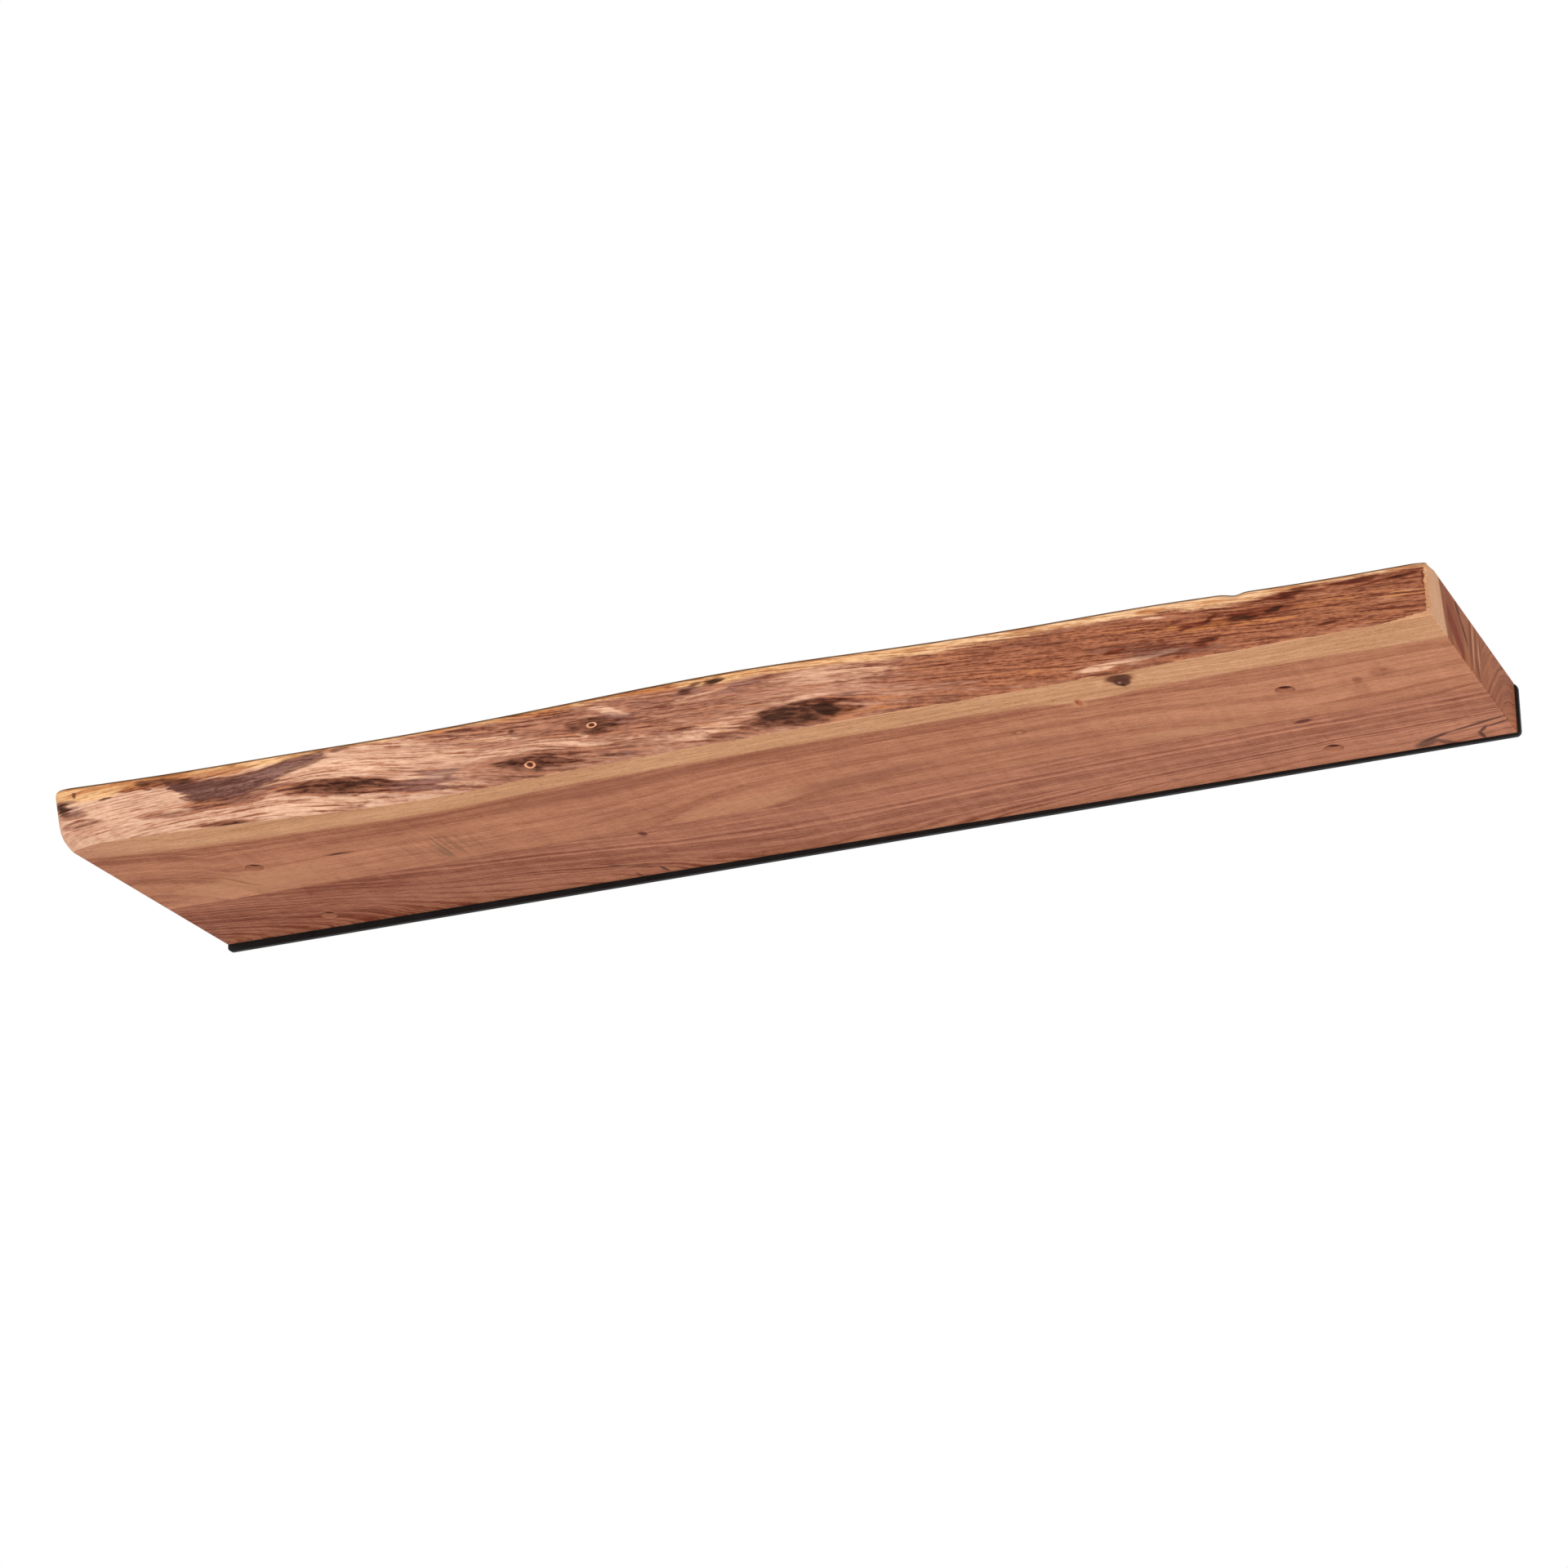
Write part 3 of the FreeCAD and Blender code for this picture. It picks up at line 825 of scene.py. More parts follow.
bore_profile = [
    (BORE_RADIUS + MOUTH, -OVERRUN),
    (BORE_RADIUS + MOUTH, 0),
    (BORE_RADIUS, MOUTH),
    (BORE_RADIUS, BORE_LENGTH),
]
recess_profile = [
    (RECESS_RADIUS + RECESS_EASE, -OVERRUN),
    (RECESS_RADIUS + RECESS_EASE, 0),
    (RECESS_RADIUS, RECESS_EASE),
    (RECESS_RADIUS, RECESS_DEPTH),
    (INSERT_RADIUS, RECESS_DEPTH),
    (INSERT_RADIUS, -FOOT),
]
bores = [turned("bore_" + side, bore_profile, (x, BACK, 0), AXIS_FORWARD) for side, x in ARM_X.items()]
recesses = {
    row: [turned("recess_" + side + row, recess_profile, (x, y, FOOT), AXIS_UP) for side, x in ARM_X.items()]
    for row, y in FASTENER_Y.items()
}
cut_out(front_stave, bores + recesses["front"])
cut_out(back_stave, bores + recesses["rear"])
for cutter in bores + recesses["front"] + recesses["rear"]:
    bpy.data.objects.remove(cutter)
smoothed(front_stave, WOOD_SHARP)
smoothed(back_stave, WOOD_SHARP)
print("drilled:", len(front_stave.data.polygons), "and", len(back_stave.data.polygons), "faces")

# %% [markdown]
# ## Bracket: the arms with their welds
# An arm is a length of round steel bar. Its end is turned down to a spigot, which goes through the plate,
# and a fillet weld runs round its root. A hand weld is a row of overlapping drops, so the weld's radius
# swells and shrinks a little on the way round.

# %% Arms
SPIGOT_RADIUS, WELD_LEG, TIP_CHAMFER, PLATE = 5.0, 3.0, 1.5, 4.0
WELD_DROPS, RIPPLE_HEIGHT, RIPPLE_SINK = 26, 0.38, 0.25


def weld_ripple(radius, along, angle):
    """The radius with small humps round the weld, which fade out where the weld ends."""
    on_weld = smooth_step(along, PLATE - 0.1, PLATE + 0.5)
    on_weld = on_weld * (1 - smooth_step(along, PLATE + 2.4, PLATE + WELD_LEG))
    humps = np.abs(np.sin(angle * WELD_DROPS / 2 + 0.4 * np.sin(3 * angle)))
    return radius + on_weld * (RIPPLE_HEIGHT * humps - RIPPLE_SINK)


WELD_HOLLOW = 0.5  # how far the weld's face is hollowed
shares = np.linspace(0, 1, 9)
weld_line = [(ARM_RADIUS + WELD_LEG * (1 - share), PLATE + WELD_LEG * share) for share in shares]
weld_line = [
    (radius - WELD_HOLLOW * math.sin(math.pi * (along - PLATE) / WELD_LEG), along)
    for radius, along in weld_line
]
arm_profile = [(SPIGOT_RADIUS, 0.0), (SPIGOT_RADIUS, PLATE)] + weld_line
shaft = np.linspace(PLATE + WELD_LEG + 4, PLATE + ARM_LENGTH - 8, 24)
arm_profile += [(ARM_RADIUS, along) for along in shaft]
tip = [(ARM_RADIUS, PLATE + ARM_LENGTH - 6), (ARM_RADIUS, PLATE + ARM_LENGTH - TIP_CHAMFER)]
tip += [(ARM_RADIUS - TIP_CHAMFER, PLATE + ARM_LENGTH), (1.0, PLATE + ARM_LENGTH)]
arm_profile += softened(tip, 0.5).tolist()
arms = {
    side: turned("support_arm_" + side, arm_profile, (x, 0, 0), AXIS_FORWARD, 104, weld_ripple)
    for side, x in ARM_X.items()
}
for arm in arms.values():
    smoothed(arm, METAL_SHARP)
print("arms:", len(arms["left"].data.polygons), "faces each")

# %% [markdown]
# ## Inserts and set screws
# A flanged insert gives the soft wood a steel thread. Its flange lies at the bottom of the recess, and the
# hole in it has a small chamfer. The set screw has no head: only a hexagon socket in its lower end, for the
# key. The threads themselves are left plain.

# %% Fasteners
FLANGE_RADIUS, FLANGE_THICKNESS, THREAD_HOLE = 6.5, 1.2, 3.05
SCREW_RADIUS, SCREW_LENGTH, KEY_SIZE, SOCKET_DEPTH = 3.0, 8.0, 3.0, 3.5
HOLE_CHAMFER, HOLE_WIDENING, SCREW_CHAMFER, SOFTENING = 0.5, 0.6, 0.5, 0.22
GAP = 0.3  # from the insert's top to the bore, and from the screw's tip to the arm
INSERT_LENGTH = -BORE_RADIUS - GAP - (FOOT + RECESS_DEPTH)
SCREW_FOOT = -ARM_RADIUS - GAP - SCREW_LENGTH

insert_profile = [
    (THREAD_HOLE, 0.0),
    (THREAD_HOLE, -FLANGE_THICKNESS + HOLE_CHAMFER),
    (THREAD_HOLE + HOLE_WIDENING, -FLANGE_THICKNESS),
    (FLANGE_RADIUS, -FLANGE_THICKNESS),
    (FLANGE_RADIUS, 0.0),
    (INSERT_RADIUS, 0.0),
    (INSERT_RADIUS, INSERT_LENGTH),
    (THREAD_HOLE, INSERT_LENGTH),
    (THREAD_HOLE, 0.0),
]
insert_profile = softened(insert_profile, SOFTENING)[:-1]


def hexagon_socket(radius, along, angle):
    """Inside the socket the radius is a hexagon's: half its width over the cosine from its nearest flat."""
    from_flat = np.mod(angle, math.pi / 3) - math.pi / 6
    inside = radius < KEY_SIZE / 2 + 0.01
    return np.where(inside, radius / np.cos(from_flat), radius)


screw_profile = [
    (0.1, SOCKET_DEPTH + 0.5),
    (KEY_SIZE / 2, SOCKET_DEPTH),
    (KEY_SIZE / 2, 0.25),
    (KEY_SIZE / 2 + 0.35, 0.0),
    (SCREW_RADIUS - SCREW_CHAMFER, 0.0),
    (SCREW_RADIUS, SCREW_CHAMFER),
    (SCREW_RADIUS, SCREW_LENGTH - SCREW_CHAMFER),
    (SCREW_RADIUS - SCREW_CHAMFER, SCREW_LENGTH),
    (0.1, SCREW_LENGTH),
]
fasteners = {}
for side, x in ARM_X.items():
    for row, y in FASTENER_Y.items():
        name = side + "_" + row
        seat = (x, y, FOOT + RECESS_DEPTH)
        insert = turned("flanged_insert_" + name, insert_profile, seat, AXIS_UP, joined=True)
        seat = (x, y, SCREW_FOOT)
        screw = turned("grub_screw_" + name, screw_profile, seat, AXIS_UP, shape=hexagon_socket)
        smoothed(insert, METAL_SHARP)
        smoothed(screw, SCREW_SHARP)
        fasteners[name] = (insert, screw)
print("fasteners:", len(fasteners), "pairs")

# %% [markdown]
# ## Bracket: the wall plate
# The plate is cut from sheet steel and its arrises are broken before it is coated, or the coat would chip.
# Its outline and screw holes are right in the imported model, so a copy of that mesh is merged into one skin
# and a narrow bevel rounds its arrises.

# %% Wall plate
PLATE_ARRIS, BEVEL_FROM = 0.5, 40  # the bevel's width, and from what angle an edge gets one


def eased_copy(name, node, width):
    """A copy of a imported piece, with its loose triangles merged and its sharp arrises rounded."""
    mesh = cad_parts[node].data.copy()
    mesh.materials.clear()
    work = bmesh.new()
    work.from_mesh(mesh)
    bmesh.ops.remove_doubles(work, verts=work.verts, dist=0.00001)
    bmesh.ops.dissolve_limit(work, angle_limit=math.radians(1), verts=work.verts, edges=work.edges)
    work.to_mesh(mesh)
    work.free()
    piece = added(name, mesh)
    bevel = piece.modifiers.new("arris", "BEVEL")
    bevel.width = width * MM
    bevel.segments = 3
    bevel.limit_method = "ANGLE"
    bevel.angle_limit = math.radians(BEVEL_FROM)
    applied(piece)
    smoothed(piece, METAL_SHARP)
    return piece


plate = eased_copy("mounting_plate", "wall_plate", PLATE_ARRIS)
print("plate:", len(plate.data.polygons), "faces")

# %% [markdown]
# ## Wood from inside
# A board's figure is the log's growth rings, cut by the board's faces. So the material asks, for any place
# in the board, how far that place lies from the log's heart, called the pith, which ran along the stave a
# little way outside it. Where the pith comes close to the surface the rings swing across it in arches,
# and the same rings show as arcs on the ends. One number, the distance, then gives the soft bands between
# light and dark and the thin dark line that ends a year's growth.

# %% Rings, fibres and pores in wood


def wandering(place, knots, drift):
    """A smooth line along the board: drifts in millimetres at given places along X."""
    low, high = min(drift), max(drift)
    along = place.part(0)
    share = (along - LEFT) / LENGTH
    points = [((knot - LEFT) / LENGTH, (value - low) / (high - low)) for knot, value in zip(knots, drift)]
    curve = place.make("FloatCurve", {"points": points}, {"Value": share})
    return curve * (high - low) + low


def ring_distance(place, pith_y, pith_rise, slow_waves, quick_waves):
    """Distance from the pith, which lies pith_rise above the underside, with the waves that a tree has."""
    across = place.part(1) - pith_y
    upward = place.part(2) - FOOT - pith_rise
    distance = (across * across + upward * upward).math("SQRT")
    slow = place.noise((150, 40, 40)) - 0.5
    quick = place.noise((45, 9, 9)) - 0.5
    return distance + slow * slow_waves + quick * quick_waves


def ring_lines(distance, spacing, width):
    """Thin dark lines where slow noise of the distance crosses its middle, so that they come unevenly."""
    crossing = (distance.line_noise(1 / spacing, 1.0) - 0.5).math("ABSOLUTE")
    return crossing.step(width, width * 0.15)


def pores(place):
    """Short fine lines along the grain, the cut vessels of a hardwood: 1 in a vessel."""
    fine = place.noise((8, 0.55, 0.55), 1.0)
    return fine.step(0.60, 0.72)


def fibres(place):
    """The fine lengthwise unevenness of planed wood, round 0."""
    return place.noise((26, 1.6, 1.6), 4.0, 0.65) - 0.5


def ripple(place):
    """Curly figure: faint bars across the grain where the fibres wave, round 0."""
    return place.noise((6.5, 45, 45)) - 0.5


def blotches(place):
    """Broad lighter and darker clouds, longer along the board than across it, round 0."""
    return place.noise((110, 30, 30), 3.0) - 0.5


def grain_noise(place):
    """Short fine unevenness that has no direction, as cut fibres' ends have, round 0."""
    return place.noise((2.2, 1.3, 1.3), 3.0, 0.6) - 0.5


def figured(place, distance, fibre, tones, level, rings, lines):
    """Wood colour: its level, soft rings, clouds, fibres and ripple, less two sets of thin ring lines.

    rings is the soft rings' strength. lines lists a spacing in millimetres, a width and a strength.
    """
    tone = level + (distance.line_noise(1 / 17, 3.0, 0.55) - 0.5) * rings
    tone = tone + blotches(place) * 0.35 + fibre * 0.9 + ripple(place) * 0.25 + grain_noise(place) * 0.5
    patchy = place.noise((120, 18, 18))
    for index, (spacing, width, strength) in enumerate(lines):
        share = patchy.step(0.3, 0.55, 0.35, 1.0) if index % 2 == 0 else patchy.step(0.65, 0.4, 0.35, 1.0)
        tone = tone - ring_lines(distance, spacing, width) * share * strength
    return tone.blend(*tones)


def spotted(base, place, spots):
    """The base colour with each spot of a table mixed over it."""
    for middle, half_sizes, tilt, strength, tone, *core in spots:
        base = (place.spot(middle, half_sizes, tilt, *core) * strength).blend(base, tone)
    return base


def end_grain(place):
    """1 on the two sawn ends."""
    return place.part(0).math("ABSOLUTE").step(RIGHT - 0.95, RIGHT - 0.1)


FRESH_CUT_LEFT, FRESH_CUT = colour(194, 128, 98), colour(206, 138, 106)
# Painted shade: a dark brown for the deep part of a recess's wall, standing in for the shade in there
DEEP_RECESS_SHADE = colour(84, 38, 24)
# Painted shade: a dark ring round each recess's mouth, set a little towards the front
RECESS_RIM_SHADE = colour(74, 34, 24)
RIM_SHADE_SIZES, RIM_SHADE_X, RIM_SHADE_Y = (7.8, 7.8, 1.2), 0.3, -0.5  # half sizes of the painted shade round a recess's mouth, and how far off centre it lies
SHADE_FROM, SHADE_FULL = 4.0, 4.9  # heights in a recess, above the underside, over which the painted shade deep inside sets in
WALL_FULL, WALL_TO = 8.5, 9.0


def drilled(base, place, row):
    """The base colour with the two recesses of a row: painted shade round the mouth, a fresh-cut wall,
    painted shade deep inside.
    """
    y = FASTENER_Y[row]
    fresh_wall = place.part(0).step(-200, 200).blend(FRESH_CUT_LEFT, FRESH_CUT)
    # Painted shade: the wall turns dark brown from SHADE_FROM to SHADE_FULL above the underside
    wall_and_deep_shade = place.part(2).step(FOOT + SHADE_FROM, FOOT + SHADE_FULL).blend(fresh_wall, DEEP_RECESS_SHADE)
    inside = place.part(2).step(FOOT + WALL_TO, FOOT + WALL_FULL)
    for x in ARM_X.values():
        # Painted shade round the mouth of the recess, a little off centre towards the front
        rim = place.spot((x + RIM_SHADE_X, y + RIM_SHADE_Y, FOOT), RIM_SHADE_SIZES, 0, 0.9)
        base = (rim * 0.95).blend(base, RECESS_RIM_SHADE)
        wall = place.spot((x, y, FOOT), (RECESS_RADIUS + 0.3, RECESS_RADIUS + 0.3, 400), 0, 0.95)
        base = (wall * inside).blend(base, wall_and_deep_shade)
    return base


# %% [markdown]
# ## Finish of the front stave
# The flat faces show reddish heartwood with a broad pale band of sapwood beside the live edge, and a darker
# zone where the two meet. Small knots, ticks and a bark pocket are lens-shaped spots in the same space, so
# that they lie on the underside where they belong. The live edge's skin is mixed in by the attribute that
# the stave's points carry: its streaks follow the fibre coordinate, and the tables of marks tint them.
# The wood is oiled, so it shines softly, a little less on the open fibres of the live edge.

# %% Heartwood and sapwood of the front stave
front_material, place, surface = new_material("oiled_live_edge_wood")
PITH_KNOTS = [-550, -508, -475, -450, -350, -150, -100, -60, -35, 0]
PITH_KNOTS += [30, 76, 152, 228, 284, 324, 375, 431, 490, 550]
PITH_RISE = [6, 45, 69, 86, 90, 88, 82, 69, 61, 54, 46, 38, 29, 18, 18, 32, 51, 58, 52, 47]
SAP_KNOTS = [-550, -500, -430, -340, -240, -150, -75, 0, 100, 200]
SAP_KNOTS += [250, 268, 292, 310, 340, 380, 430, 480, 550]
SAP_LINE = [-222, -214, -206.5, -199, -195.5, -201, -203, -203, -202, -199]
SAP_LINE += [-195, -191, -190, -192, -194, -196, -195.5, -194, -192]
SAP_LEAN = 0.4  # the border's slant across the board's thickness
x = place.part(0)
z = place.part(2)
fibre = fibres(place)
vessel = pores(place)
distance = ring_distance(place, -68, wandering(place, PITH_KNOTS, PITH_RISE), 9, 2.5)
behind_sap = place.part(1) - wandering(place, SAP_KNOTS, SAP_LINE) + (z - FOOT) * SAP_LEAN
border_wave = place.noise((60, 20, 20), 3.0) - 0.5
behind_sap = behind_sap + border_wave * 5 + fibre * 3.0
dark_zone = behind_sap.step(-2, 3) * behind_sap.step(26, 10)
border_lines = ring_lines(behind_sap + border_wave * 6, 6, 0.09)
border_lines = border_lines * behind_sap.step(-1, 3) * behind_sap.step(36, 22)
dark_year = (distance - 66.5).math("ABSOLUTE").step(6.0, 0.5) * x.step(-10, 70)
glue_light = place.part(1).step(GLUE - 16, GLUE - 4) * x.step(-60, -420)
level = x.step(60, 420, 0.415, 0.54) - dark_zone * 0.13 - border_lines * 0.12
level = level - dark_year * 0.14 + glue_light * 0.14
HEART_TONES = (colour(142, 82, 58), colour(220, 154, 117))
heart = figured(place, distance, fibre, HEART_TONES, level, 0.62, [(15, 0.06, 0.13), (6, 0.08, 0.07)])
sap_tone = fibre * 1.4 + (distance.line_noise(1 / 8, 3.0, 0.55) - 0.5) * 1.1 + blotches(place) * 0.6
sap_tone = sap_tone + grain_noise(place) * 0.9 + 0.5
sap = sap_tone.blend(colour(170, 116, 78), colour(220, 167, 127))
sap = x.step(-550, -455).blend(sap_tone.blend(colour(166, 108, 81), colour(208, 150, 118)), sap)
soft_border = x.step(-500, -200, 6.5, 2.6)
flat = (behind_sap / soft_border).step(1.0, -1.0).blend(heart, sap)

# %% Spots on the front stave's flat faces: place, half sizes, tilt, strength, colour and, for some, core
BARK = colour(70, 40, 28)
RED_BROWN = colour(132, 70, 48)
RUSTY = colour(176, 98, 62)
PALE_HEART = colour(198, 142, 104)
DULL_HEART = colour(150, 92, 70)
END_DARK = colour(120, 40, 12)
END_STREAK = colour(86, 28, 4)
END_LINE = colour(112, 50, 18)
SAP_END = colour(255, 255, 255)
HEART_END = colour(210, 188, 162)
FRONT_SPOTS = [
    ((-452, -122, FOOT), (95, 26, 20), -4, 0.5, PALE_HEART),
    ((-25, -112, FOOT), (75, 16, 20), -8, 0.4, PALE_HEART),
    ((335, -106, FOOT), (62, 10, 20), 4, 0.55, PALE_HEART),
    ((-110, -184, FOOT), (120, 14, 20), -4, 0.5, DULL_HEART),
    ((80, -124, FOOT), (90, 9, 20), -7, 0.55, DULL_HEART),
    ((215, -134, FOOT), (95, 6, 20), 2, 0.35, DULL_HEART),
    ((470, -115.5, FOOT), (46, 5, 10), -3, 0.5, RED_BROWN),
    ((522, -120.5, FOOT), (40, 4, 10), -5, 0.45, RED_BROWN),
    ((522, -100.5, FOOT), (34, 3.6, 8), -13, 0.5, RED_BROWN),
    ((-522, -160, FOOT), (34, 3.2, 8), 15, 0.5, RED_BROWN),
    ((-486, -146, FOOT), (24, 3.0, 8), 28, 0.45, RED_BROWN),
    ((-462, -126, FOOT), (22, 3.0, 8), 55, 0.45, RED_BROWN),
    ((317, -219, FOOT), (15, 13, 6), 0, 0.75, colour(150, 90, 58)),
    ((317, -229, FOOT), (24, 3.0, 6), 0, 0.85, colour(128, 70, 44), 0.6),
    ((321, -224.5, FOOT), (10, 1.2, 3), 6, 0.8, colour(206, 146, 108), 0.5),
    ((317, -218, FOOT), (11.5, 8.5, 6), 0, 0.95, colour(98, 54, 36), 0.6),
    ((317, -211.5, FOOT), (7.6, 9.5, 6), 6, 0.95, colour(84, 46, 32), 0.6),
    ((319, -221.5, FOOT), (9.0, 1.8, 2), -8, 0.8, BARK, 0.4),
    ((316, -206.5, FOOT), (2.6, 4.0, 2), 0, 0.9, BARK, 0.4),
    ((315, -211, FOOT), (1.8, 2.2, 2), 0, 0.7, colour(176, 122, 92)),
    ((301, -214, FOOT), (3.5, 9, 3), 24, 0.6, colour(218, 164, 124)),
    ((333, -216, FOOT), (3.0, 8, 3), -24, 0.5, colour(218, 164, 124)),
    ((276, -188, FOOT), (8, 12, 5), 0, 0.7, colour(196, 138, 102)),
    ((276, -189, FOOT), (3.6, 9, 4), 4, 0.9, RUSTY),
    ((275, -190, FOOT), (1.4, 4, 4), 4, 0.7, colour(120, 60, 38)),
    ((491, -153, FOOT), (13, 10, 4), 0, 0.4, RED_BROWN),
    ((493, -156, FOOT), (4, 3, 4), 0, 0.5, RED_BROWN),
    ((471, -146, FOOT), (5, 7, 3), 10, 0.6, RED_BROWN),
    ((469, -128, FOOT), (9, 16, 3), 4, 0.25, RED_BROWN),
    ((217, -156, FOOT), (9, 4.6, 3), 0, 0.6, RED_BROWN),
    ((217, -155.5, FOOT), (3.5, 2.2, 2), 0, 0.8, PALE_HEART),
    ((-360, -149, FOOT), (19, 3.2, 3), 2, 0.8, colour(122, 70, 48)),
    ((-362, -149, FOOT), (9, 1.9, 3), 0, 0.9, colour(66, 38, 28)),
    ((-362, -146, FOOT), (6, 1.4, 3), 0, 0.6, PALE_HEART),
    ((-352, -171, FOOT), (9, 2.5, 3), 0, 0.45, RED_BROWN),
    ((-297, -166, FOOT), (8, 2.0, 3), 0, 0.45, RED_BROWN),
    ((-245, -98, FOOT), (9, 1.8, 3), 0, 0.5, RED_BROWN),
    ((-279, -130, FOOT), (1.4, 34, 3), 1, 0.55, colour(104, 72, 54)),
    ((-281, -118, FOOT), (5.0, 22, 3), 1, 0.35, colour(124, 96, 74)),
    ((RIGHT, -128, -1), (5, 4.0, 30), 0, 0.75, END_LINE),
    ((RIGHT, -121, 0), (5, 3.4, 26), 0, 0.6, colour(206, 146, 112)),
    ((RIGHT, -114, 2), (5, 3.2, 24), 0, 0.7, END_LINE),
    ((RIGHT, -110, -14), (5, 4.2, 10), 0, 0.7, END_LINE),
    ((RIGHT, -102, 6), (5, 3.2, 12), 0, 0.6, END_LINE),
    ((RIGHT, -106, -2), (5, 3.0, 16), 0, 0.5, colour(206, 146, 112)),
]
ends = end_grain(place)
flat = ends.blend(flat, behind_sap.step(-2, 2).blend(SAP_END, HEART_END), "MULTIPLY")
y = place.part(1)
end_height = z + grain_noise(place) * 3 + (place.noise((9, 9, 9)) - 0.5) * 7


def end_mark(slope, height, rim, front, back):
    """A slanting mark on an end: its slope and height, its half width, and where it starts and stops."""
    near = (end_height + y * slope + height).math("ABSOLUTE").step(*rim)
    return near * y.step(*front) * y.step(*back)


end_band = end_mark(0.42, 80.8, (9, 4), (-194, -185), (-142, -152))
end_cloud = end_mark(0.42, 70, (14, 6), (-191, -184), (-153, -166))
end_streak = end_mark(0.71, 102.1, (3.8, 1.2), (-169, -163), (-133, -139))
on_right = ends * x.step(0, 1)
flat = (ends * behind_sap.step(2, -2) * 0.3).blend(flat, colour(224, 176, 142))
flat = (end_cloud * on_right * 0.5).blend(flat, END_DARK)
flat = (end_band * on_right * 0.85).blend(flat, END_DARK)
flat = (end_streak * on_right * 0.9).blend(flat, END_STREAK)
flat = spotted(flat, place, FRONT_SPOTS)
chatter = place.noise((2.4, 60, 60)).step(0.47, 0.62)
chatter = chatter * place.spot((-276, -130, FOOT), (66, 36, 3), 3, 0.2)
flat = (chatter * 0.42).blend(flat, colour(124, 84, 60))
flat = (vessel * 0.3).blend(flat, colour(122, 72, 52))
glue_line = place.part(1).step(GLUE - 1.1, GLUE - 0.2) * 0.4
flat = glue_line.blend(flat, colour(112, 62, 44))
flat = drilled(flat, place, "front")
print("heartwood and sapwood:", len(FRONT_SPOTS), "spots")

# %% Skin of the live edge: fibres and tints


def attribute(place, name):
    """A number that the piece's points carry."""
    return place.make("Attribute", {"attribute_name": name}, (), output=2)


grain = place.make("CombineXYZ", (), {0: x, 1: attribute(place, "fibre"), 2: 0.0})
calm = x.step(-545, -460, 0.3, 1.0)
strand = (grain.noise((80, 2.6, 1), 3.0, 0.65) - 0.5) * calm
hair = (grain.noise((42, 1.15, 1), 2.0, 0.6) - 0.5) * calm
band = grain.noise((110, 7, 1)) - 0.5
speck = grain.noise((5, 1.6, 1), 2.0, 0.6) - 0.5
frayed = strand * 2.2 + hair * 1.9 + speck * 0.5
fleck = grain.noise((11, 1.1, 1), 2.0, 0.6) - 0.5
streaks = strand * 2.3 + hair * 3.0 + speck * 1.1 + fleck * 1.8 + 0.5
right_share = x.step(60, 260)

fresh_tone = streaks * x.step(-470, -330, 0.6, 0.8) + band * 1.0 + x.step(-470, -330, 0.22, 0.1)
fresh = fresh_tone.blend(colour(176, 116, 88), colour(248, 204, 174))
brown_share = (attribute(place, "brown") * 1.45 - 0.3 + frayed + band * 1.5).step(0.08, 0.8)
left_brown = streaks.blend(colour(104, 56, 42), colour(190, 128, 100))
right_brown = (streaks * 0.9 + speck * 0.8 + 0.05).blend(colour(110, 57, 39), colour(180, 114, 82))
skin = brown_share.blend(fresh, right_share.blend(left_brown, right_brown))
pale_share = (attribute(place, "pale") + frayed * 0.6).step(0.15, 0.95)
skin = (pale_share * 0.75).blend(skin, (streaks + 0.1).blend(colour(196, 136, 104), colour(248, 202, 170)))

# %% Skin of the live edge: gold along the top, rust, the grey patch and dark marks
above_gold = z - wandering(place, GOLD_KNOTS, GOLD_FROM) + frayed * 3.6
gold_light = right_share.blend(colour(250, 200, 146), colour(255, 214, 168))
gold_share = streaks + band * 1.2
gold_tone = gold_share.blend(right_share.blend(colour(196, 134, 78), colour(204, 142, 92)), gold_light)
skin = (above_gold.step(-1.5, 1.8) * 0.9).blend(skin, gold_tone)
rust_share = (attribute(place, "rust") + frayed * 1.1 + band * 1.6).step(0.3, 0.85)
skin = (rust_share * 0.85).blend(skin, (streaks + band).blend(colour(128, 66, 38), colour(206, 132, 78)))
patch_share = (attribute(place, "patch") + frayed * 0.55).step(0.3, 0.7)
patch_tone = band * 2.0 + streaks * 0.6 + speck * 1.4 - 0.4 + x.step(-430, -335) * 0.72
patch_colour = patch_tone.blend(colour(92, 54, 48), colour(146, 104, 94))
skin = (patch_share * 0.94).blend(skin, patch_colour)
violet_share = (attribute(place, "violet") + frayed).step(0.2, 0.95)
violet_low = right_share.blend(colour(84, 52, 50), colour(72, 42, 38))
violet_high = right_share.blend(colour(142, 100, 92), colour(124, 80, 68))
skin = (violet_share * 0.75).blend(skin, streaks.blend(violet_low, violet_high))
dark_share = attribute(place, "dark") * 1.2 + frayed * 0.5
deep = right_share.blend(colour(66, 34, 24), colour(90, 34, 20))
shallow = right_share.blend(colour(142, 88, 66), colour(146, 76, 50))
dark_cover = dark_share.step(0.15, 0.9) * 0.88
dark_tone = streaks * 0.5 + fleck * 2.6 + x.step(60, 260, 0.15, -0.05)
skin = dark_cover.blend(skin, dark_tone.blend(deep, shallow))
skin = (dark_share.step(0.95, 1.35) * 0.85).blend(skin, colour(50, 29, 21))
pin = attribute(place, "pin")
skin = pin.step(0.35, 0.75).blend(skin, colour(232, 166, 126))
skin = (pin * -1).step(0.3, 0.8).blend(skin, colour(96, 48, 32))
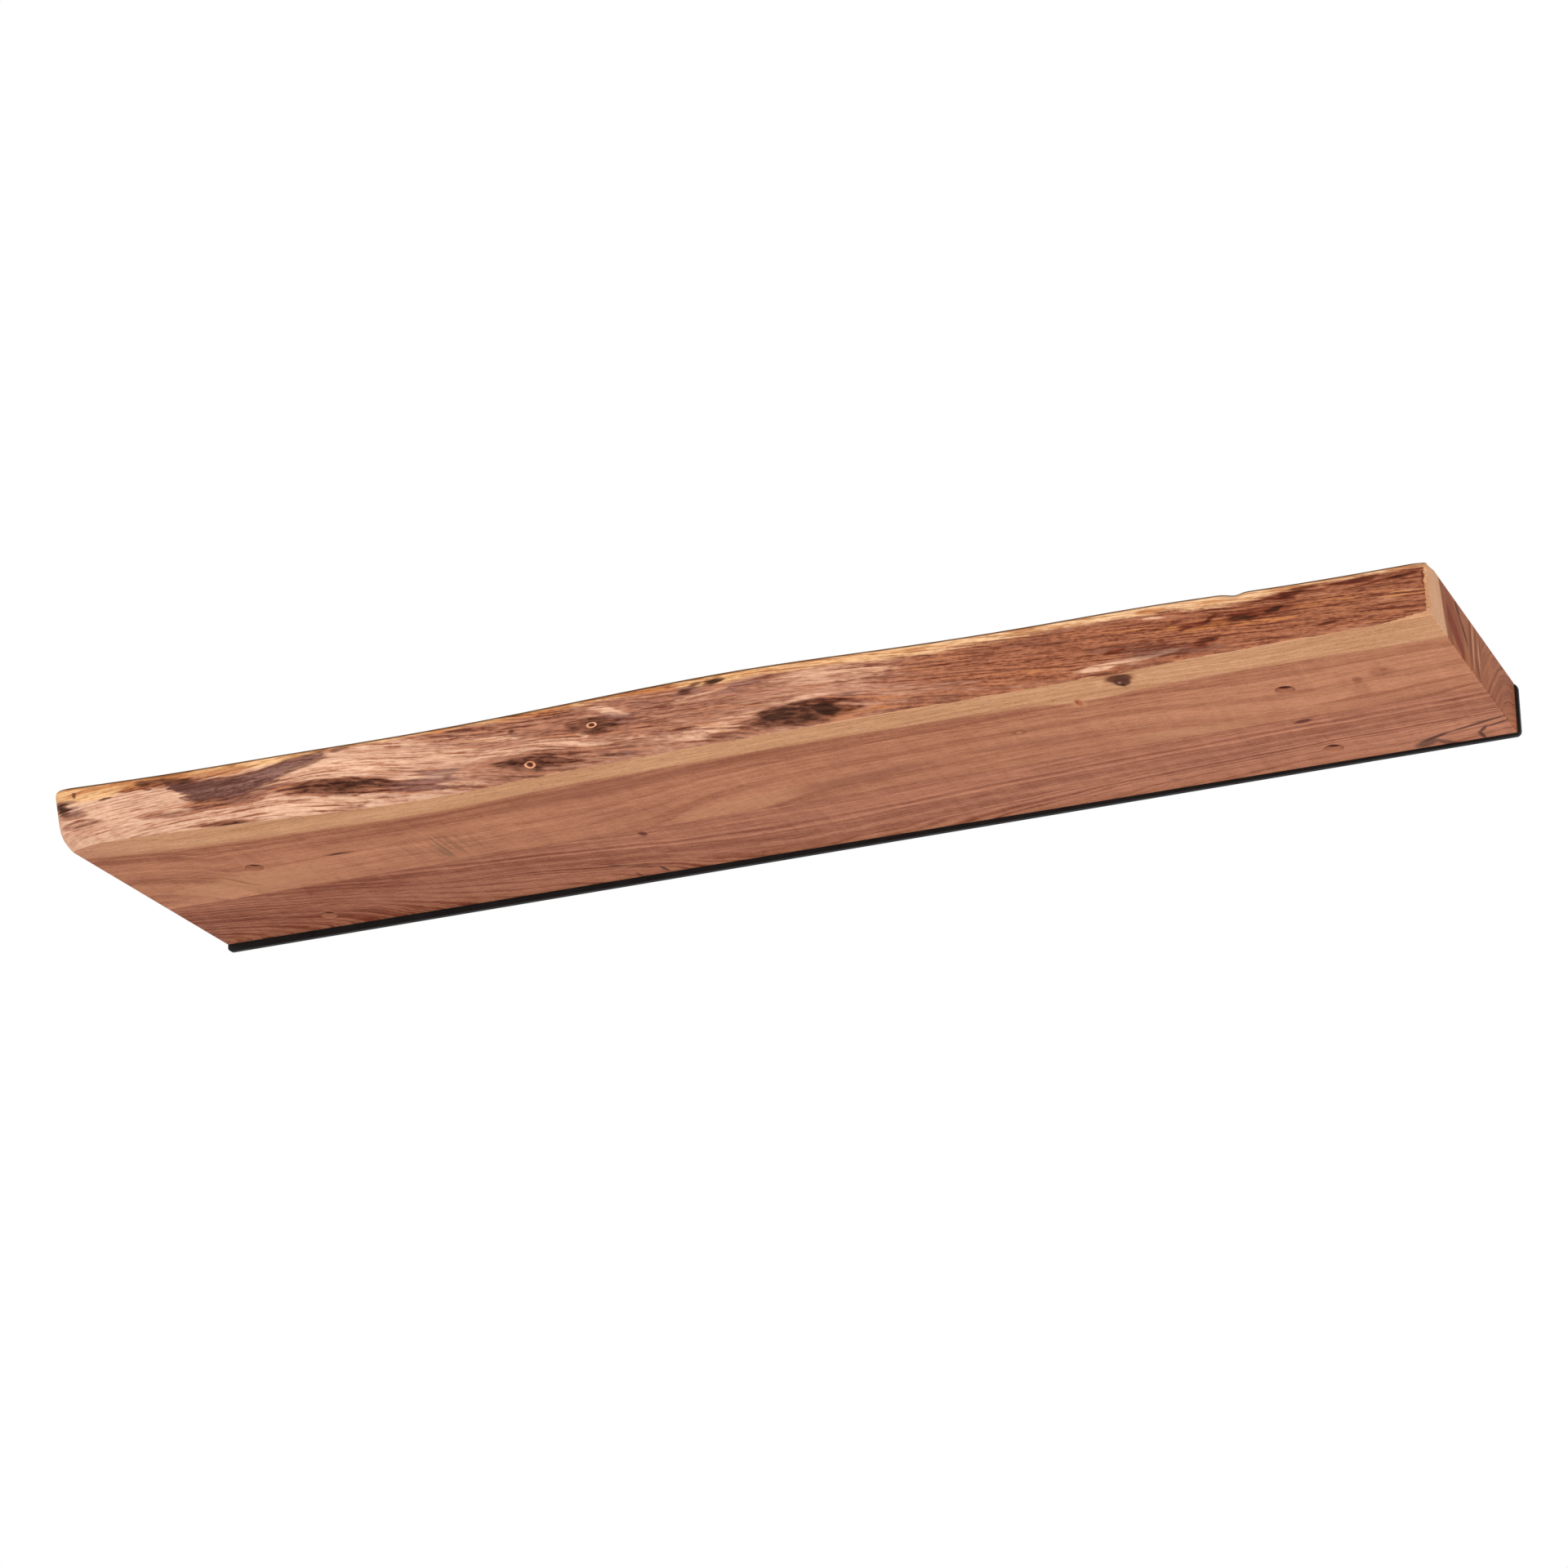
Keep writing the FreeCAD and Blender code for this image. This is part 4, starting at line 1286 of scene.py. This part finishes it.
# Darker lines where the fibres' bump is lowest: partly the fibres' own darker colour, partly painted shade
# in the troughs
skin = (hair.step(-0.05, -0.16) * 0.5).blend(skin, colour(160, 112, 96), "MULTIPLY")
foot_line = z.step(FOOT + 0.45, FOOT + 0.2) * (frayed + band * 2 + 0.45).step(0.2, 0.8)
skin = (foot_line * 0.7).blend(skin, colour(232, 178, 142))
on_skin = attribute(place, "skin").step(0.3, 0.7)
base = on_skin.blend(flat, skin)
# Painted shade: a thin dark brown line along the rounded top arris of the live edge
top_arris_shade = z.step(TOP - 1.9, TOP - 1.1) * z.step(TOP - 0.03, TOP - 0.15) * place.part(1).step(-215, -228)
base = (top_arris_shade * 0.85).blend(base, colour(74, 44, 28))

# %% Gloss and bump of the front stave
front_rough = (fibre * 0.25 + vessel * 0.12 + 0.55) + on_skin * (strand * 0.2 + 0.12)
flat_height = fibre * 0.5 - vessel * 1.0
skin_height = strand * 2.0 + hair * 1.8
front_height = flat_height + on_skin * (skin_height - flat_height)
WOOD_SHINE = {"Specular IOR Level": 0.05, "IOR": 1.5}
finish_material(surface, base, front_rough, front_height, 0.2, WOOD_SHINE)
print("front wood:", len(front_material.node_tree.nodes), "nodes")

# %% [markdown]
# ## Finish of the back stave
# The back stave comes from another board, all heartwood, redder and darker at its left-hand end. Its pith
# lay below the board, sank towards the middle and rose a little again, so its rings run out in long
# slanting lines on the underside and rise as arcs on the ends. Its stains, ticks and streaks are spots.

# %% Material of the back stave
back_material, place, surface = new_material("oiled_red_heartwood")
DEEP_KNOTS = [-550, -480, -400, -348, -292, -220, -143, -91, -40, 200, 303, 413, 457, 550]
PITH_DEPTH = [-10, -30, -51, -66, -75, -80, -88, -96, -99, -88, -81.5, -77, -76.5, -72.5]
PITH_PLACE = [-12, -6, -1, 3, 7, 10, 12, 12, 12, 12, 12, 12, 12, 12]
fibre = fibres(place)
vessel = pores(place)
pith_y = wandering(place, DEEP_KNOTS, PITH_PLACE)
distance = ring_distance(place, pith_y, wandering(place, DEEP_KNOTS, PITH_DEPTH), 7, 2.0)
level = place.part(0).step(-480, 100, 0.385, 0.635)
BACK_TONES = (colour(118, 56, 35), colour(214, 146, 114))
base = figured(place, distance, fibre, BACK_TONES, level, 0.45, [(5.5, 0.1, 0.3), (2.4, 0.12, 0.16)])
STAIN = colour(84, 54, 48)
TICK = colour(100, 46, 34)
STREAK = colour(84, 46, 38)
BACK_SPOTS = [
    ((-173, -36, FOOT), (10, 1.8, 3), 37, 0.7, STAIN),
    ((-155, -26, FOOT), (19, 1.9, 3), 24, 0.75, STAIN),
    ((-140, -14, FOOT), (9, 2.4, 3), 78, 0.85, STAIN),
    ((-164, -10, FOOT), (7, 1.8, 3), 80, 0.6, STAIN),
    ((-123, -88.5, FOOT), (5.0, 6, 3), -12, 0.95, TICK),
    ((-426, -80, FOOT), (2.5, 4, 3), 0, 0.5, TICK),
    ((413, -90, FOOT), (10, 4.4, 3), -10, 0.95, TICK),
    ((484, -13, FOOT), (14, 8, 3), -30, 0.75, STAIN),
    ((498, -9, FOOT), (14, 5.0, 3), 50, 0.7, STAIN),
    ((493, -21.5, FOOT), (18, 3.0, 3), -26, 0.9, STREAK),
    ((528, -33.5, FOOT), (38, 2.3, 3), -17, 0.9, STREAK),
    ((525.5, -12, FOOT), (10, 2.6, 3), 85, 0.85, STREAK),
    ((529, -22, FOOT), (9, 2.4, 3), -55, 0.85, STREAK),
    ((543, -29, FOOT), (16, 2.2, 3), -20, 0.8, STREAK),
]
base = spotted(base, place, BACK_SPOTS)
base = (vessel * 0.32).blend(base, colour(108, 60, 46))
base = end_grain(place).blend(base, colour(227, 209, 184), "MULTIPLY")
base = (place.part(1).step(GLUE + 1.1, GLUE + 0.2) * 0.4).blend(base, colour(112, 58, 42))
base = drilled(base, place, "rear")
back_rough = fibre * 0.25 + vessel * 0.12 + 0.55
finish_material(surface, base, back_rough, fibre * 0.5 - vessel, 0.2, WOOD_SHINE)
print("back wood:", len(back_material.node_tree.nodes), "nodes")

# %% [markdown]
# ## Finishes of the metal pieces
# The plate and arms are powder coated: a satin black with the fine orange-peel of melted powder, and a
# little greyer in soft patches. The inserts are zinc plated, and the screws are black oxide,
# which is thin and shows the turning marks below it.

# %% Materials of the metal pieces


def metal_material(name, dark, light, patch_size, grain, roughness, bump, metallic, specular):
    """A metal finish: cloudy patches between two tones, and a fine grain in its roughness and bump."""
    material, place, surface = new_material(name)
    cloud = place.noise((patch_size, patch_size, patch_size), 4.0, 0.6)
    peel = place.noise(grain)
    base = (cloud * 0.7 + peel * 0.3).step(0.3, 0.7).blend(dark, light)
    rough = (cloud - 0.5) * 0.25 + (peel - 0.5) * 0.15 + roughness
    fixed = {"Metallic": metallic, "Specular IOR Level": specular}
    finish_material(surface, base, rough, peel * 1.0, bump, fixed)
    return material


PEEL, TURNING = (1.1, 1.1, 1.1), (0.6, 0.6, 0.15)  # sizes of the two grains
COAT_TONES = (colour(15, 13, 13), colour(28, 26, 26))
ZINC_TONES = (colour(176, 178, 184), colour(206, 208, 212))
OXIDE_TONES = (colour(52, 50, 52), colour(82, 80, 82))
coat = metal_material("black_powder_coat", *COAT_TONES, 24, PEEL, 0.5, 0.05, 0.0, 0.15)
zinc = metal_material("bright_zinc", *ZINC_TONES, 3, TURNING, 0.34, 0.01, 1.0, 0.5)
oxide = metal_material("black_oxide", *OXIDE_TONES, 3, TURNING, 0.4, 0.01, 1.0, 0.5)

# %% [markdown]
# ## Everything on its body
# The board's pieces ride on the body that slides, and the bracket's pieces ride on the one that stays on
# the wall. Each new piece takes the place of one imported piece, which is hidden, and gets a finish of its
# own.

# %% Rides, replaced pieces and slots


def put(piece, body, node, material):
    """Puts a piece on its body, hides the imported piece that it replaces and gives it its finish."""
    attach(piece, body)
    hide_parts(node)
    piece.data.materials.clear()
    piece.data.materials.append(material)


put(front_stave, "board", "live_edge_stave", front_material)
put(back_stave, "board", "back_stave", back_material)
put(plate, "bracket", "wall_plate", coat)
for side, arm in arms.items():
    put(arm, "bracket", "arm_" + side, coat)
for name, (insert, screw) in fasteners.items():
    put(insert, "board", "insert_" + name, zinc)
    put(screw, "board", "set_screw_" + name, oxide)
print("dressed pieces:", 3 + len(arms) + 2 * len(fasteners))

# %% [markdown]
# ## Floor and light
# The shelf hangs in a plain bright studio. A pale floor lies far below it, and the surroundings are white
# to the camera and in reflections, but shine a little less, so that three soft lamps can shape the board.

# %% Floor
FLOOR_Z, FLOOR_HALF = -3.45, 9.0
floor_mesh = bpy.data.meshes.new("floor")
corners = [(-1, -1), (1, -1), (1, 1), (-1, 1)]
floor_mesh.from_pydata([(x * FLOOR_HALF, y * FLOOR_HALF, FLOOR_Z) for x, y in corners], [], [(0, 1, 2, 3)])
floor = added("floor", floor_mesh)
floor_material, place, surface = new_material("pale_floor")
cloud = place.noise((900, 900, 900), 3.0)
floor_tone = cloud.blend(colour(226, 225, 223), colour(238, 237, 235))
finish_material(surface, floor_tone, cloud * 0.1 + 0.75, cloud * 0.1, 0.1, {"Specular IOR Level": 0.1})
floor_mesh.materials.append(floor_material)

# %% Lamps and surroundings


def soft_lamp(name, place, target, size, power):
    """A square lamp that faces a target."""
    lamp = bpy.data.lights.new(name, "AREA")
    lamp.shape = "SQUARE"
    lamp.size = size
    lamp.energy = power
    lit = added(name, lamp)
    lit.location = place
    direction = Vector(target) - Vector(place)
    lit.rotation_euler = direction.to_track_quat("-Z", "Y").to_euler()


SHELF_MIDDLE = (0, -0.13, 0)
soft_lamp("key_lamp", (-1.6, -2.6, 1.3), SHELF_MIDDLE, 1.6, 6)
soft_lamp("fill_lamp", (0.6, -2.1, -2.1), SHELF_MIDDLE, 1.2, 36)
soft_lamp("side_lamp", (3.2, -0.5, -0.2), (0.55, -0.13, 0), 1.2, 14)

world = bpy.data.worlds.new("studio")
world.use_nodes = True
bpy.context.scene.world = world
tree = world.node_tree
tree.nodes.clear()
path = tree.nodes.new("ShaderNodeLightPath")
camera_ray = Wire(tree, path.outputs["Is Camera Ray"])
glossy_ray = Wire(tree, path.outputs["Is Glossy Ray"])
clear_ray = Wire(tree, path.outputs["Is Transmission Ray"])
seen = camera_ray.math("MAXIMUM", glossy_ray).math("MAXIMUM", clear_ray)
dim = seen.make("Background", (), {"Color": (1, 1, 1, 1), "Strength": 0.82})
white = seen.make("Background", (), {"Color": (1, 1, 1, 1), "Strength": 1.0})
mixed = seen.make("MixShader", (), {0: seen, 1: dim, 2: white})
end_node = tree.nodes.new("ShaderNodeOutputWorld")
tree.links.new(mixed.socket, end_node.inputs["Surface"])
bpy.context.scene.view_settings.view_transform = "Standard"
